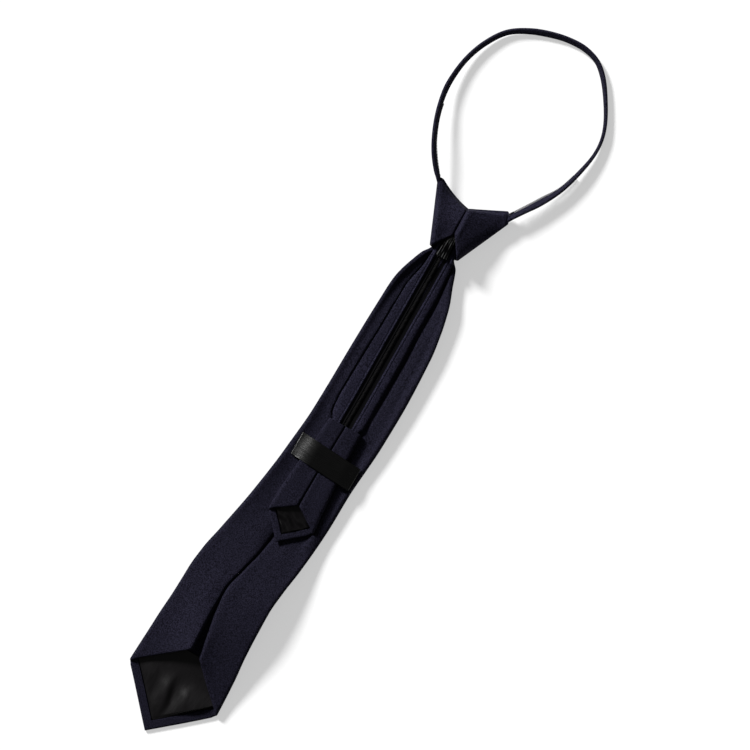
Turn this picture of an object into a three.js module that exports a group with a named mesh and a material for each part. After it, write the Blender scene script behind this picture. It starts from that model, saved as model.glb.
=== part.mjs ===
// A zipper tie lying face down: blade, tail with its zipper, knot and neck loop.
// Millimetres, +Z up. The blade points to -Y, the neck loop to +Y, and the front of the tie is on z = 0.
// Built on the middle of the knot's lower edge, then moved so that the origin is under the middle of it all.

import * as THREE from 'three';

// Cloth and clearances
const cloth = 1.2;
const ply = 0.3;
const clearance = 0.35;

// Blade: the wide front end
const bladeLength = 451;
const bladeHalf = 41.7;
const bladeRoll = 2.9;
const bladeNeckRoll = 1.9;
const bladeHem = 6.7;
const bladeTipLeft = 43;
const bladeTipRight = 38.5;
const bladeFlapSlope = 0.9;
const bladeSeamGap = 0.5;
const bladeSeamOpening = 6.8;
const bladeSeamSpread = 30;
const bladeOpenLength = 84;
const bladeFlapLift = 4.6;
const bladeFlapHold = 30;
const bladeEdgeLift = 12;
const bladeInKnot = 7;

// Tail: the narrow back end. Its sleeve hangs below the zipper and the two cloth strips beside it.
const tailDrop = 160;
const tailLength = 107.4;
const tailHalf = 20.9;
const tailRoll = 2.9;
const tailHem = 5;
const tailTip = 20;
const tailFlapSlope = 0.7;
const tailSeamGap = 0.5;
const tailSeamOpening = 2.2;
const tailOpenLength = 30;
const tailFlapLift = 1.8;
const tailKnotRise = 4.5;
const tailRiseLength = 34;
const tailLevel = 0.65;
const tailInKnot = 11;
const stripThick = 2.2;
const stripUnderSleeve = 10;
const tapeWidth = 2.4;
const tapeThick = 1;
const coilWidth = 4.2;
const coilHeight = 2.1;
const coilPitch = 4;
const sliderWidth = 10;
const sliderLength = 19;
const sliderThick = 2.6;
const sliderRib = 1;
const sliderRibs = 3;
const sliderOut = 4;

// Tipping: the lining in both tips
const tippingThick = 1;
const tippingReach = 30;
const tippingFold = 1.2;

// Knot
const knotBottomHalf = 13.1;
const knotLean = 0.5;
const knotTopHalf = 33.7;
const knotNotch = 39.8;
const knotWingLeft = 12.9;
const knotWingRight = 16.2;
const knotMouth = 17.5;
const knotDeep = 20.5;
const knotShallow = 7;
const knotBluntLeft = 3.4;
const knotBluntRight = 11;
const knotBluntShare = 0.16;
const knotSag = 1.8;
const knotRiseLeft = 9.8;
const knotRiseRight = 6;
const knotFallRight = 0.36;
const knotWall = 1.6;

// Keeper label
const labelDrop = 180.4;
const labelWidth = 19.6;
const labelThick = 1;
const labelLeft = 25.2;
const labelRight = 29.4;
const labelSlope = 0.058;
const labelReach = 10.5;

// Neck loop
const bandWidth = 5.6;
const bandThick = 2.6;
const loopBulge = 31.8;
const loopReach = 142.8;
const loopHeight = 13.4;
const loopCoilLength = 66;
const loopCoilWidth = 1.5;
const loopStart = { left: -33.6, leftUp: 49.8, right: 33.1, rightUp: 51.1 };

// Blade sections from the knot down: shares of the blade's length and half width.
// Curls are the angles, in radians, that the sides beyond the flat middle turn up by.
const bladeSections = [
  { down: -0.030, half: 0.318, centre: 0.000, flat: 0.36, curlLeft: 1.50, curlRight: 1.50, rise: 2.1, seam: 0 },
  { down: 0.000, half: 0.326, centre: 0.000, flat: 0.36, curlLeft: 1.50, curlRight: 1.50, rise: 2.1, seam: 0 },
  { down: 0.017, half: 0.450, centre: 0.010, flat: 0.38, curlLeft: 1.25, curlRight: 1.20, rise: 1.8, seam: 0 },
  { down: 0.041, half: 0.555, centre: 0.010, flat: 0.42, curlLeft: 1.15, curlRight: 1.20, rise: 1.2, seam: 0 },
  { down: 0.085, half: 0.720, centre: 0.054, flat: 0.46, curlLeft: 1.00, curlRight: 1.40, rise: 0.4, seam: 0 },
  { down: 0.130, half: 0.775, centre: 0.100, flat: 0.50, curlLeft: 0.85, curlRight: 1.35, rise: 0, seam: 0 },
  { down: 0.175, half: 0.802, centre: 0.124, flat: 0.52, curlLeft: 0.70, curlRight: 1.20, rise: 0, seam: 0 },
  { down: 0.264, half: 0.817, centre: 0.133, flat: 0.54, curlLeft: 0.55, curlRight: 1.00, rise: 0, seam: 0 },
  { down: 0.353, half: 0.808, centre: 0.111, flat: 0.56, curlLeft: 0.45, curlRight: 0.80, rise: 0, seam: 0 },
  { down: 0.442, half: 0.800, centre: 0.025, flat: 0.58, curlLeft: 0.35, curlRight: 0.50, rise: 0, seam: 0 },
  { down: 0.531, half: 0.842, centre: -0.052, flat: 0.60, curlLeft: 0.22, curlRight: 0.34, rise: 0, seam: 0.02 },
  { down: 0.620, half: 0.882, centre: -0.187, flat: 0.62, curlLeft: 0.10, curlRight: 0.20, rise: 0, seam: 0.03 },
  { down: 0.665, half: 0.894, centre: -0.275, flat: 0.64, curlLeft: 0.06, curlRight: 0.12, rise: 0, seam: -0.03 },
  { down: 0.710, half: 0.896, centre: -0.322, flat: 0.66, curlLeft: 0.03, curlRight: 0.06, rise: 0, seam: -0.04 },
  { down: 0.754, half: 0.905, centre: -0.324, flat: 0.68, curlLeft: 0, curlRight: 0, rise: 0, seam: 0.048 },
  { down: 0.799, half: 0.932, centre: -0.328, flat: 0.70, curlLeft: 0, curlRight: 0, rise: 0, seam: 0.053 },
  { down: 0.844, half: 0.966, centre: -0.316, flat: 0.72, curlLeft: 0, curlRight: 0, rise: 0, seam: 0.041 },
  { down: 0.911, half: 1.000, centre: -0.314, flat: 0.74, curlLeft: 0, curlRight: 0, rise: 0, seam: 0.03 },
  { down: 1.000, half: 1.020, centre: -0.372, flat: 0.76, curlLeft: 0, curlRight: 0, rise: 0, seam: 0.03 },
];

// The tail's edges and its zipper across, from inside the knot down to the sleeve.
// Shares of the drop to the sleeve and of the tail's half width.
const tailRuns = [
  { down: -0.07, left: -0.30, zip: 0.02, right: 0.42 },
  { down: 0.00, left: -0.35, zip: 0.03, right: 0.50 },
  { down: 0.11, left: -0.42, zip: 0.05, right: 0.62 },
  { down: 0.23, left: -0.61, zip: 0.06, right: 0.69 },
  { down: 0.41, left: -0.66, zip: 0.07, right: 0.69 },
  { down: 0.56, left: -0.69, zip: 0.08, right: 0.73 },
  { down: 0.84, left: -0.71, zip: 0.10, right: 0.75 },
  { down: 0.96, left: -0.62, zip: 0.10, right: 0.75 },
  { down: 1.00, left: -0.48, zip: 0.10, right: 0.66 },
  { down: 1.10, left: -0.48, zip: 0.10, right: 0.66 },
];

// Tail sleeve sections from its top edge down: shares of the sleeve's length and half width.
const sleeveSections = [
  { down: 0.00, half: 0.700, centre: 0.090 },
  { down: 0.14, half: 0.735, centre: 0.075 },
  { down: 0.41, half: 0.860, centre: 0.055 },
  { down: 0.64, half: 0.955, centre: 0.050 },
  { down: 0.81, half: 1.000, centre: 0.088 },
  { down: 1.00, half: 1.010, centre: -0.012 },
];

// The neck loop's route from the left wing tip round to the right one. Round runs from tip to tip.
// Across and along are shares of the bulge and the reach, height of the loop's height, tilt in radians.
const loopRoute = [
  { round: 0.000, across: 0.000, along: 0.000, height: 0.963, tilt: 1.20 },
  { round: 0.014, across: -0.148, along: 0.027, height: 1.000, tilt: 1.03 },
  { round: 0.048, across: -0.465, along: 0.096, height: 1.110, tilt: 0.95 },
  { round: 0.082, across: -0.741, along: 0.174, height: 1.160, tilt: 1.06 },
  { round: 0.133, across: -1.078, along: 0.300, height: 0.980, tilt: 1.03 },
  { round: 0.183, across: -1.312, along: 0.431, height: 0.700, tilt: 0.91 },
  { round: 0.218, across: -1.401, along: 0.521, height: 0.560, tilt: 0.97 },
  { round: 0.269, across: -1.432, along: 0.654, height: 0.418, tilt: 0.98 },
  { round: 0.319, across: -1.329, along: 0.781, height: 0.321, tilt: 0.90 },
  { round: 0.371, across: -1.091, along: 0.895, height: 0.261, tilt: 0.75 },
  { round: 0.421, across: -0.688, along: 0.967, height: 0.239, tilt: 0.60 },
  { round: 0.473, across: -0.216, along: 1.013, height: 0.228, tilt: 0.65 },
  { round: 0.506, across: 0.115, along: 1.030, height: 0.222, tilt: 0.72 },
  { round: 0.541, across: 0.455, along: 1.031, height: 0.229, tilt: 0.80 },
  { round: 0.575, across: 0.788, along: 1.005, height: 0.235, tilt: 0.89 },
  { round: 0.609, across: 1.041, along: 0.946, height: 0.240, tilt: 1.04 },
  { round: 0.660, across: 1.301, along: 0.836, height: 0.240, tilt: 1.26 },
  { round: 0.711, across: 1.493, along: 0.716, height: 0.246, tilt: 1.41 },
  { round: 0.744, across: 1.541, along: 0.631, height: 0.276, tilt: 1.47 },
  { round: 0.778, across: 1.492, along: 0.540, height: 0.336, tilt: 1.42 },
  { round: 0.829, across: 1.278, along: 0.405, height: 0.433, tilt: 1.20 },
  { round: 0.880, across: 0.996, along: 0.275, height: 0.493, tilt: 1.04 },
  { round: 0.930, across: 0.604, along: 0.155, height: 0.567, tilt: 0.74 },
  { round: 0.964, across: 0.313, along: 0.080, height: 0.627, tilt: 0.66 },
  { round: 1.000, across: 0.000, along: 0.000, height: 0.679, tilt: 0.72 },
];

const navyCloth = new THREE.MeshStandardMaterial({ color: 0x1c1c28, roughness: 0.9, metalness: 0 });
const charcoalSatin = new THREE.MeshStandardMaterial({ color: 0x232123, roughness: 0.45, metalness: 0 });
const blackSatin = new THREE.MeshStandardMaterial({ color: 0x141416, roughness: 0.35, metalness: 0 });
const blackTape = new THREE.MeshStandardMaterial({ color: 0x101014, roughness: 0.85, metalness: 0 });
const blackNylon = new THREE.MeshStandardMaterial({ color: 0x18181a, roughness: 0.4, metalness: 0 });

// Small numeric tools
const mix = (a, b, t) => a + (b - a) * t;
const clamp = (v, low, high) => Math.min(Math.max(v, low), high);

function smooth(v, from, to) {
  const t = clamp((v - from) / (to - from), 0, 1);
  return t * t * (3 - 2 * t);
}

// A table's column at a station, through a monotone cubic between its rows.
function column(rows, key, name, at) {
  const slope = (i) => (rows[i + 1][name] - rows[i][name]) / (rows[i + 1][key] - rows[i][key]);
  const last = rows.length - 1;
  const v = clamp(at, rows[0][key], rows[last][key]);
  let i = 0;
  while (i < last - 1 && v > rows[i + 1][key]) i += 1;
  const tangent = (j) => {
    if (j === 0 || j === last) return slope(Math.min(j, last - 1));
    const before = slope(j - 1);
    const after = slope(j);
    return before * after <= 0 ? 0 : (2 * before * after) / (before + after);
  };
  const step = rows[i + 1][key] - rows[i][key];
  const t = (v - rows[i][key]) / step;
  const a = rows[i][name];
  const b = rows[i + 1][name];
  const curve = (2 * t ** 3 - 3 * t * t + 1) * a + (3 * t * t - 2 * t ** 3) * b;
  return curve + (t ** 3 - 2 * t * t + t) * step * tangent(i) + (t ** 3 - t * t) * step * tangent(i + 1);
}

// A closed wall between two grids of points: outer(i, j) and inner(i, j), joined round the rim.
function wall(columns, rows, outer, inner) {
  const points = [];
  const faces = [];
  for (const side of [outer, inner]) {
    for (let i = 0; i < columns; i += 1) {
      for (let j = 0; j < rows; j += 1) points.push(...side(i, j));
    }
  }
  const at = (side, i, j) => (side * columns + i) * rows + j;
  const quad = (a, b, c, d) => faces.push(a, b, c, a, c, d);
  for (let i = 0; i < columns - 1; i += 1) {
    for (let j = 0; j < rows - 1; j += 1) {
      quad(at(0, i, j), at(0, i + 1, j), at(0, i + 1, j + 1), at(0, i, j + 1));
      quad(at(1, i, j), at(1, i, j + 1), at(1, i + 1, j + 1), at(1, i + 1, j));
    }
    quad(at(0, i, 0), at(1, i, 0), at(1, i + 1, 0), at(0, i + 1, 0));
    quad(at(0, i, rows - 1), at(0, i + 1, rows - 1), at(1, i + 1, rows - 1), at(1, i, rows - 1));
  }
  for (let j = 0; j < rows - 1; j += 1) {
    quad(at(0, 0, j), at(0, 0, j + 1), at(1, 0, j + 1), at(1, 0, j));
    quad(at(0, columns - 1, j), at(1, columns - 1, j), at(1, columns - 1, j + 1), at(0, columns - 1, j + 1));
  }
  return closed(points, faces);
}

// A buffer geometry with its faces turned outwards, whichever way the grid ran.
function closed(points, faces) {
  const corner = (i) => new THREE.Vector3(points[3 * i], points[3 * i + 1], points[3 * i + 2]);
  let volume = 0;
  for (let f = 0; f < faces.length; f += 3) {
    volume += corner(faces[f]).dot(corner(faces[f + 1]).cross(corner(faces[f + 2])));
  }
  if (volume < 0) {
    for (let f = 0; f < faces.length; f += 3) [faces[f + 1], faces[f + 2]] = [faces[f + 2], faces[f + 1]];
  }
  const geometry = new THREE.BufferGeometry();
  geometry.setAttribute('position', new THREE.Float32BufferAttribute(points, 3));
  geometry.setIndex(faces);
  geometry.computeVertexNormals();
  return geometry;
}

// The columns of a folded envelope, from the left flap's edge round the front to the right flap's edge.
// Flap: 0 at the side fold and 1 at the seam. Turn: angle round the fold. Front: -1 to 1 across.
function envelopeColumns(flaps, turns, fronts) {
  const list = [];
  for (let i = flaps; i > 0; i -= 1) list.push({ side: -1, flap: i / flaps });
  for (let i = turns; i >= 0; i -= 1) list.push({ side: -1, turn: (Math.PI * i) / turns });
  for (let i = 1; i < fronts; i += 1) list.push({ front: (2 * i) / fronts - 1 });
  for (let i = 0; i <= turns; i += 1) list.push({ side: 1, turn: (Math.PI * i) / turns });
  for (let i = 1; i <= flaps; i += 1) list.push({ side: 1, flap: i / flaps });
  return list;
}

// Where a column of a folded envelope lies in its flat cross-section, at a depth inside the outer skin.
// Across is measured from the middle and up from the underside. The side folds are half circles.
function envelopePlace(place, half, roll, seam, depth) {
  const shoulder = half - roll;
  if (place.front !== undefined) return { across: place.front * shoulder, up: depth };
  const radius = roll - depth;
  if (place.turn !== undefined) {
    const across = place.side * (shoulder + radius * Math.sin(place.turn));
    return { across, up: roll - radius * Math.cos(place.turn) };
  }
  const edge = seam(place.side);
  return { across: mix(place.side * shoulder, edge, place.flap), up: 2 * roll - depth };
}

// The middle of a cross-section stays flat, and each side beyond it curls up on an arc.
function curl(across, up, half, flat, angle) {
  const start = flat * half;
  const over = Math.abs(across) - start;
  if (over <= 0 || angle < 1e-3) return { across, up };
  const radius = (half - start) / angle;
  const turned = over / radius;
  return {
    across: Math.sign(across) * (start + (radius - up) * Math.sin(turned)),
    up: radius - (radius - up) * Math.cos(turned),
  };
}

// The cloth's profile from the top of an envelope to its hem, as offsets from the pointed edge and depths.
// Shares place the main rows between the edge and the top; the last rows turn the hem up inside.
function hemmedRows(shares, hem) {
  const slant = Math.SQRT2;
  const bend = cloth + ply / 2;
  const rows = shares.map((share) => ({ share, lead: slant * bend, outer: 0, inner: cloth }));
  for (const turn of [Math.PI / 3, (2 * Math.PI) / 3, Math.PI]) {
    const small = ply / 2;
    rows.push({
      share: 0,
      lead: slant * bend * (1 - Math.sin(turn)),
      leadInner: slant * (bend - small * Math.sin(turn)),
      outer: bend * (1 - Math.cos(turn)),
      inner: bend - small * Math.cos(turn),
    });
  }
  rows.push({ share: 0, lead: slant * hem, outer: 2 * bend, inner: bend + ply / 2 });
  return rows;
}

// The height of the pointed edge above the tip, for a column that lies across of half.
function pointRise(place, across, half, left, right, flapSlope) {
  const rise = across < 0 ? left : right;
  const share = Math.min(Math.abs(across) / half, 1);
  const behind = place.flap !== undefined || place.turn > Math.PI / 2;
  return behind ? rise + flapSlope * half * (1 - share) : rise * share;
}

// A pointed, hemmed cloth envelope. Shape gives half width, roll, seam and the place of a flat point.
function envelope(shape) {
  const places = envelopeColumns(4, 4, 6);
  const rows = hemmedRows(shape.shares, shape.hem);
  const cornerHalf = shape.half(shape.tipY + shape.left);
  const cornerSeam = (side) => (side * shape.seamOpening) / 2;
  const point = (place, row, depth, lead) => {
    const rough = envelopePlace(place, cornerHalf, shape.roll(shape.tipY), cornerSeam, 0);
    const rise = pointRise(place, rough.across, cornerHalf, shape.left, shape.right, shape.flapSlope);
    const y = mix(shape.tipY + rise + lead, shape.topY, row.share);
    const flat = envelopePlace(place, shape.half(y), shape.roll(y), (side) => shape.seam(side, y), depth);
    const lift = place.flap === undefined ? 0 : shape.flapLift(place.side, y) * place.flap ** 2;
    return shape.world(flat.across, flat.up + lift, y);
  };
  return wall(
    places.length,
    rows.length,
    (i, j) => point(places[i], rows[j], rows[j].outer, rows[j].lead),
    (i, j) => point(places[i], rows[j], rows[j].inner, rows[j].leadInner ?? rows[j].lead),
  );
}

// Blade
const bladeAt = (name, y) => column(bladeSections, 'down', name, -y / bladeLength);
const bladeHalfAt = (y) => bladeAt('half', y) * bladeHalf;
const bladeCentreAt = (y) => bladeAt('centre', y) * bladeHalf;
const bladeRollAt = (y) => mix(bladeNeckRoll, bladeRoll, smooth(-y / bladeLength, 0.08, 0.5));
const bladeTipY = -bladeLength;
const bladeCornerY = bladeTipY + bladeTipLeft;
const bladeTack = bladeCornerY + bladeOpenLength;

// The blade rises off the floor in one long wave half way down, from its left edge to its right one.
function bladeLift(across, y) {
  const along = -y / bladeLength;
  const wave = smooth(along, 0.53, 0.72) * (1 - smooth(along, 0.72, 0.93));
  const share = clamp((across / bladeHalf + 1) / 2, 0, 1);
  return bladeEdgeLift * wave * share * (1.6 - 0.6 * share);
}

function bladeWorld(across, up, y) {
  const angle = bladeAt(across < 0 ? 'curlLeft' : 'curlRight', y);
  const bent = curl(across, up, bladeHalfAt(y), bladeAt('flat', y), angle);
  return [bladeCentreAt(y) + bent.across, y, bladeAt('rise', y) + bent.up + bladeLift(bent.across, y)];
}

// Height of the blade's back above the floor at a place: the curl worked backwards.
function bladeBack(x, y) {
  const across = x - bladeCentreAt(y);
  const half = bladeHalfAt(y);
  const start = bladeAt('flat', y) * half;
  const angle = Math.max(bladeAt(across < 0 ? 'curlLeft' : 'curlRight', y), 1e-3);
  const radius = (half - start) / angle;
  const up = 2 * bladeRollAt(y);
  const sine = clamp((Math.abs(across) - start) / (radius - up), 0, 0.97);
  return bladeAt('rise', y) + radius - (radius - up) * Math.sqrt(1 - sine * sine) + bladeLift(across, y);
}

const bladeShape = {
  topY: bladeInKnot,
  tipY: bladeTipY,
  left: bladeTipLeft,
  right: bladeTipRight,
  hem: bladeHem,
  flapSlope: bladeFlapSlope,
  seamOpening: bladeSeamOpening,
  half: bladeHalfAt,
  roll: bladeRollAt,
  seam: (side, y) => {
    const gap = mix(bladeSeamGap, bladeSeamOpening, smooth(-y, -bladeTack, bladeSeamSpread - bladeTack));
    return (side * gap) / 2 + bladeAt('seam', y) * bladeHalf;
  },
  flapLift: (side, y) => {
    const loose = smooth(-y, -bladeTack, -bladeCornerY - bladeFlapHold);
    return (side < 0 ? 1 : 0.35) * bladeFlapLift * loose;
  },
  world: bladeWorld,
  shares: [
    1, 0.98, 0.965, 0.95, 0.93, 0.9, 0.87, 0.84, 0.8, 0.75, 0.7, 0.65, 0.6, 0.55, 0.5,
    0.45, 0.4, 0.36, 0.32, 0.28, 0.24, 0.2, 0.16, 0.12, 0.08, 0.04, 0,
  ],
};

// Tail: it lies on the blade's back, partly level, and climbs into the mouth of the knot.
const sleeveTop = -tailDrop;
const sleeveTip = sleeveTop - tailLength;
const runAt = (name, y) => column(tailRuns, 'down', name, -y / tailDrop) * tailHalf;
const sleeveAt = (name, y) => column(sleeveSections, 'down', name, (sleeveTop - y) / tailLength) * tailHalf;

function tailBed(x, y) {
  const low = y < sleeveTop ? sleeveAt('centre', y) - sleeveAt('half', y) : runAt('left', y);
  const high = y < sleeveTop ? sleeveAt('centre', y) + sleeveAt('half', y) : runAt('right', y);
  const level = Math.max(bladeBack(low, y), bladeBack(high, y), bladeBack((low + high) / 2, y));
  return mix(bladeBack(x, y), level, tailLevel) + clearance + tailKnotRise * smooth(y, -tailRiseLength, 4);
}

const tailOpening = (y) => smooth(-y, -(sleeveTip + tailTip + tailOpenLength), -(sleeveTip + tailTip));

const tailShape = {
  topY: sleeveTop,
  tipY: sleeveTip,
  left: tailTip,
  right: tailTip,
  hem: tailHem,
  flapSlope: tailFlapSlope,
  seamOpening: tailSeamOpening,
  half: (y) => sleeveAt('half', y),
  roll: () => tailRoll,
  seam: (side, y) => (side * mix(tailSeamGap, tailSeamOpening, tailOpening(y))) / 2,
  flapLift: (side, y) => tailFlapLift * tailOpening(y),
  world: (across, up, y) => {
    const x = sleeveAt('centre', y) + across;
    return [x, y, tailBed(x, y) + up];
  },
  shares: [1, 0.9, 0.78, 0.65, 0.52, 0.4, 0.28, 0.18, 0.08, 0],
};

// What runs beside the sleeve's own wall sits that much higher where it goes into the sleeve.
const intoSleeve = (y) => (cloth + clearance) * smooth(-y, tailDrop - 14, tailDrop - 2);

// A bar that follows the tail between two edges, given as functions of y, with a crowned top.
function tailBar(left, right, from, to, rows, low, high, crown) {
  const across = crown.length - 1;
  const place = (i, j, top) => {
    const y = mix(from, to, j / (rows - 1));
    const x = mix(left(y), right(y), i / across);
    const lift = top ? mix(low, high, crown[i]) : low;
    return [x, y, tailBed(x, y) + intoSleeve(y) + lift];
  };
  return wall(across + 1, rows, (i, j) => place(i, j, false), (i, j) => place(i, j, true));
}

const stripEnd = sleeveTop - stripUnderSleeve;
const tapeEdge = coilWidth / 2 + clearance;
const stripEdge = tapeEdge + tapeWidth + clearance;
const zipAt = (offset) => (y) => runAt('zip', y) + offset;
const stripCrown = [0.55, 1, 1, 0.7];

const tailStrip = (side) => {
  const outer = (y) => runAt(side < 0 ? 'left' : 'right', y);
  const inner = zipAt(side * stripEdge);
  const edges = side < 0 ? [outer, inner] : [inner, outer];
  const crown = side < 0 ? stripCrown : [...stripCrown].reverse();
  return tailBar(...edges, tailInKnot, stripEnd, 22, 0, stripThick, crown);
};

const tape = (side) => {
  const near = zipAt(side * tapeEdge);
  const far = zipAt(side * (tapeEdge + tapeWidth));
  const edges = side < 0 ? [far, near] : [near, far];
  return tailBar(...edges, tailInKnot, stripEnd, 22, clearance, clearance + tapeThick, [1, 1]);
};

// The closed coil: a low half-round bar with one ridge for each pitch.
function closedCoil() {
  const count = Math.round((tailInKnot - stripEnd) / coilPitch);
  const rows = 2 * count + 1;
  const across = 4;
  const place = (i, j, top) => {
    const y = mix(tailInKnot, stripEnd, j / (rows - 1));
    const f = (2 * i) / across - 1;
    const ridge = j % 2 === 0 ? 0.75 : 1;
    const x = runAt('zip', y) + (f * coilWidth) / 2;
    const up = top ? coilHeight * ridge * (0.35 + 0.65 * Math.sqrt(1 - f * f)) : 0;
    return [x, y, tailBed(x, y) + intoSleeve(y) + clearance + up];
  };
  return wall(across + 1, rows, (i, j) => place(i, j, false), (i, j) => place(i, j, true));
}

// Slider: a rounded plate with long ribs that rides on the coil in the mouth of the knot
function slider() {
  const across = 4 * sliderRibs;
  const rows = 9;
  const seat = coilHeight + 2 * clearance;
  const place = (i, j, top) => {
    const f = (2 * i) / across - 1;
    const v = j / (rows - 1);
    const y = mix(-sliderOut, sliderLength - sliderOut, v);
    const x = runAt('zip', y) + (f * sliderWidth * (1 - 0.3 * v * v)) / 2;
    const rib = i % 4 === 2 || i % 4 === 1 ? 1 : 0;
    const round = Math.sqrt(1 - 0.8 * f * f) * Math.sin(Math.PI * mix(0.12, 0.88, v)) ** 0.4;
    const ribs = sliderRib * rib * Math.sin(Math.PI * mix(0.06, 0.94, v));
    return [x, y, tailBed(runAt('zip', y), y) + seat + (top ? sliderThick * round + ribs : 0)];
  };
  return wall(across + 1, rows, (i, j) => place(i, j, false), (i, j) => place(i, j, true));
}

// A lining panel that lies inside an envelope, inside its hem, with soft folds where it shows.
function tipping(shape, reach) {
  const across = 10;
  const rows = 9;
  const bottom = shape.tipY + Math.SQRT2 * (shape.hem + clearance);
  const cornerY = shape.tipY + Math.max(shape.left, shape.right);
  const low = cloth + clearance;
  const place = (i, j, up) => {
    const f = (2 * i) / across - 1;
    const cornerShare = 1 - (shape.roll(cornerY) + clearance) / shape.half(cornerY);
    const rise = (f < 0 ? shape.left : shape.right) * Math.abs(f) * cornerShare;
    const y = mix(bottom + rise, cornerY + reach, j / (rows - 1));
    const inMouth = 1 - smooth(y, cornerY - 6, cornerY + 14);
    const middle = 1 - smooth(Math.abs(f), 0.35, 0.8);
    const ripple = 0.5 + 0.5 * Math.sin(7 * f + 0.09 * (y - bottom));
    const fold = tippingFold * ripple * inMouth * middle * smooth(j, 0, 2);
    return shape.world(f * (shape.half(y) - shape.roll(y) - 2 * clearance), low + up + fold, y);
  };
  return wall(across + 1, rows, (i, j) => place(i, j, 0), (i, j) => place(i, j, tippingThick));
}

// Knot: a flattened sleeve whose lower edge is straight in front and an upside-down V behind.
// Round is the angle round the sleeve: 0 in the middle of the front and pi in the middle of the back.
function knotPlace(round, v, inset) {
  const back = Math.abs(round) > Math.PI / 2;
  const sine = Math.sin(round);
  const cosine = Math.cos(round);
  const share = Math.sign(sine) * Math.abs(sine) ** 0.75;
  const wide = Math.abs(share);
  const wing = share < 0 ? knotWingLeft : knotWingRight;
  const mouth = back ? knotMouth * (1 - wide) : 0;
  const clipped = Math.max(0, wide - 1 + knotBluntShare) / knotBluntShare;
  const blunt = (share < 0 ? knotBluntLeft : knotBluntRight) * clipped ** 2;
  const x = share * (mix(knotBottomHalf, knotTopHalf, v) - inset) + knotLean * (1 - v);
  const sag = share < 0 ? 4 * knotSag * wide * (1 - wide) : 0;
  const y = mix(mouth, knotNotch + wing * wide - blunt - sag, v);
  const fall = share < 0 ? 0 : knotFallRight * wide ** 1.3 * smooth(v, 0, 0.25) * (1 - v ** 3);
  const full = (mix(knotDeep, knotShallow, smooth(v * (0.45 + 0.55 * wide), 0.15, 1)) / 2) * (1 - fall);
  const closing = Math.sqrt(Math.max(0, 1 - smooth(v, 0.5, 1) ** 2));
  const deep = Math.max(full * closing, knotWall + clearance);
  const lap = share < 0 && back ? (knotWall + ply) * smooth(Math.abs(round), 2.1, 2.9) : 0;
  const rise = share < 0 ? knotRiseLeft * v : knotRiseRight * v ** 2;
  const front = rise * wide ** 2 + 0.6 * (full - deep);
  return [x, y, front + deep - Math.sign(cosine) * Math.sqrt(Math.abs(cosine)) * (deep - inset) - lap];
}

function knot() {
  const columns = 33;
  const rows = 13;
  const end = Math.PI - 0.02;
  const angle = (i) => mix(-end, end, i / (columns - 1));
  return wall(
    columns,
    rows,
    (i, j) => knotPlace(angle(i), j / (rows - 1), 0),
    (i, j) => knotPlace(angle(i), j / (rows - 1), knotWall),
  );
}

// Keeper label: sewn to the blade's back at both ends and arched over the tail
function label() {
  const across = 14;
  const rows = 3;
  const place = (i, j, up) => {
    const x = mix(-labelLeft, labelRight, i / across);
    const y = -labelDrop - (labelWidth * j) / (rows - 1) - labelSlope * (x + labelLeft);
    const over = tailBed(x, y) + 2 * tailRoll + clearance;
    const beside = bladeBack(x, y) + 2 * clearance;
    const past = Math.abs(x - sleeveAt('centre', y)) - sleeveAt('half', y);
    return [x, y, mix(over, Math.min(over, beside), clamp((past - clearance) / labelReach, 0, 1)) + up];
  };
  return wall(across + 1, rows, (i, j) => place(i, j, 0), (i, j) => place(i, j, labelThick));
}

// Neck loop: a folded band carried along the route from one wing tip to the other
const loopEnd = (side) => (
  side < 0
    ? new THREE.Vector3(loopStart.left, loopStart.leftUp, 0)
    : new THREE.Vector3(loopStart.right, loopStart.rightUp, 0)
);

const route = new THREE.CatmullRomCurve3(
  loopRoute.map((p) => {
    const spot = loopEnd(-1).lerp(loopEnd(1), p.round);
    spot.x += p.across * loopBulge;
    spot.y += p.along * loopReach;
    spot.z = p.height * loopHeight;
    return spot;
  }),
  false,
  'centripetal',
);

const tilts = loopRoute.map((p, i) => ({ at: i / (loopRoute.length - 1), tilt: p.tilt }));

// Out points away from the loop's middle when the band lies flat, and up is the band's own normal.
function bandFrame(t) {
  const centre = route.getPoint(t);
  const ahead = route.getTangent(t);
  const tilt = column(tilts, 'at', 'tilt', t);
  const out = new THREE.Vector3(-ahead.y, ahead.x, 0).normalize().applyAxisAngle(ahead, tilt);
  const up = new THREE.Vector3().crossVectors(ahead, out);
  return { centre, out, up };
}

function bandBar(from, to, rows, left, right, thick) {
  const across = 2;
  const place = (i, j, side) => {
    const { centre, out, up } = bandFrame(mix(from, to, j / (rows - 1)));
    centre.addScaledVector(out, mix(left, right, i / across));
    centre.addScaledVector(up, (side * thick * (i === 1 ? 1 : 0.7)) / 2);
    return centre.toArray();
  };
  return wall(across + 1, rows, (i, j) => place(i, j, -1), (i, j) => place(i, j, 1));
}

const bandHalf = bandWidth / 2;
const coilShare = loopCoilLength / route.getLength();
const coilOut = [-bandHalf - clearance - loopCoilWidth, -bandHalf - clearance];

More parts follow.
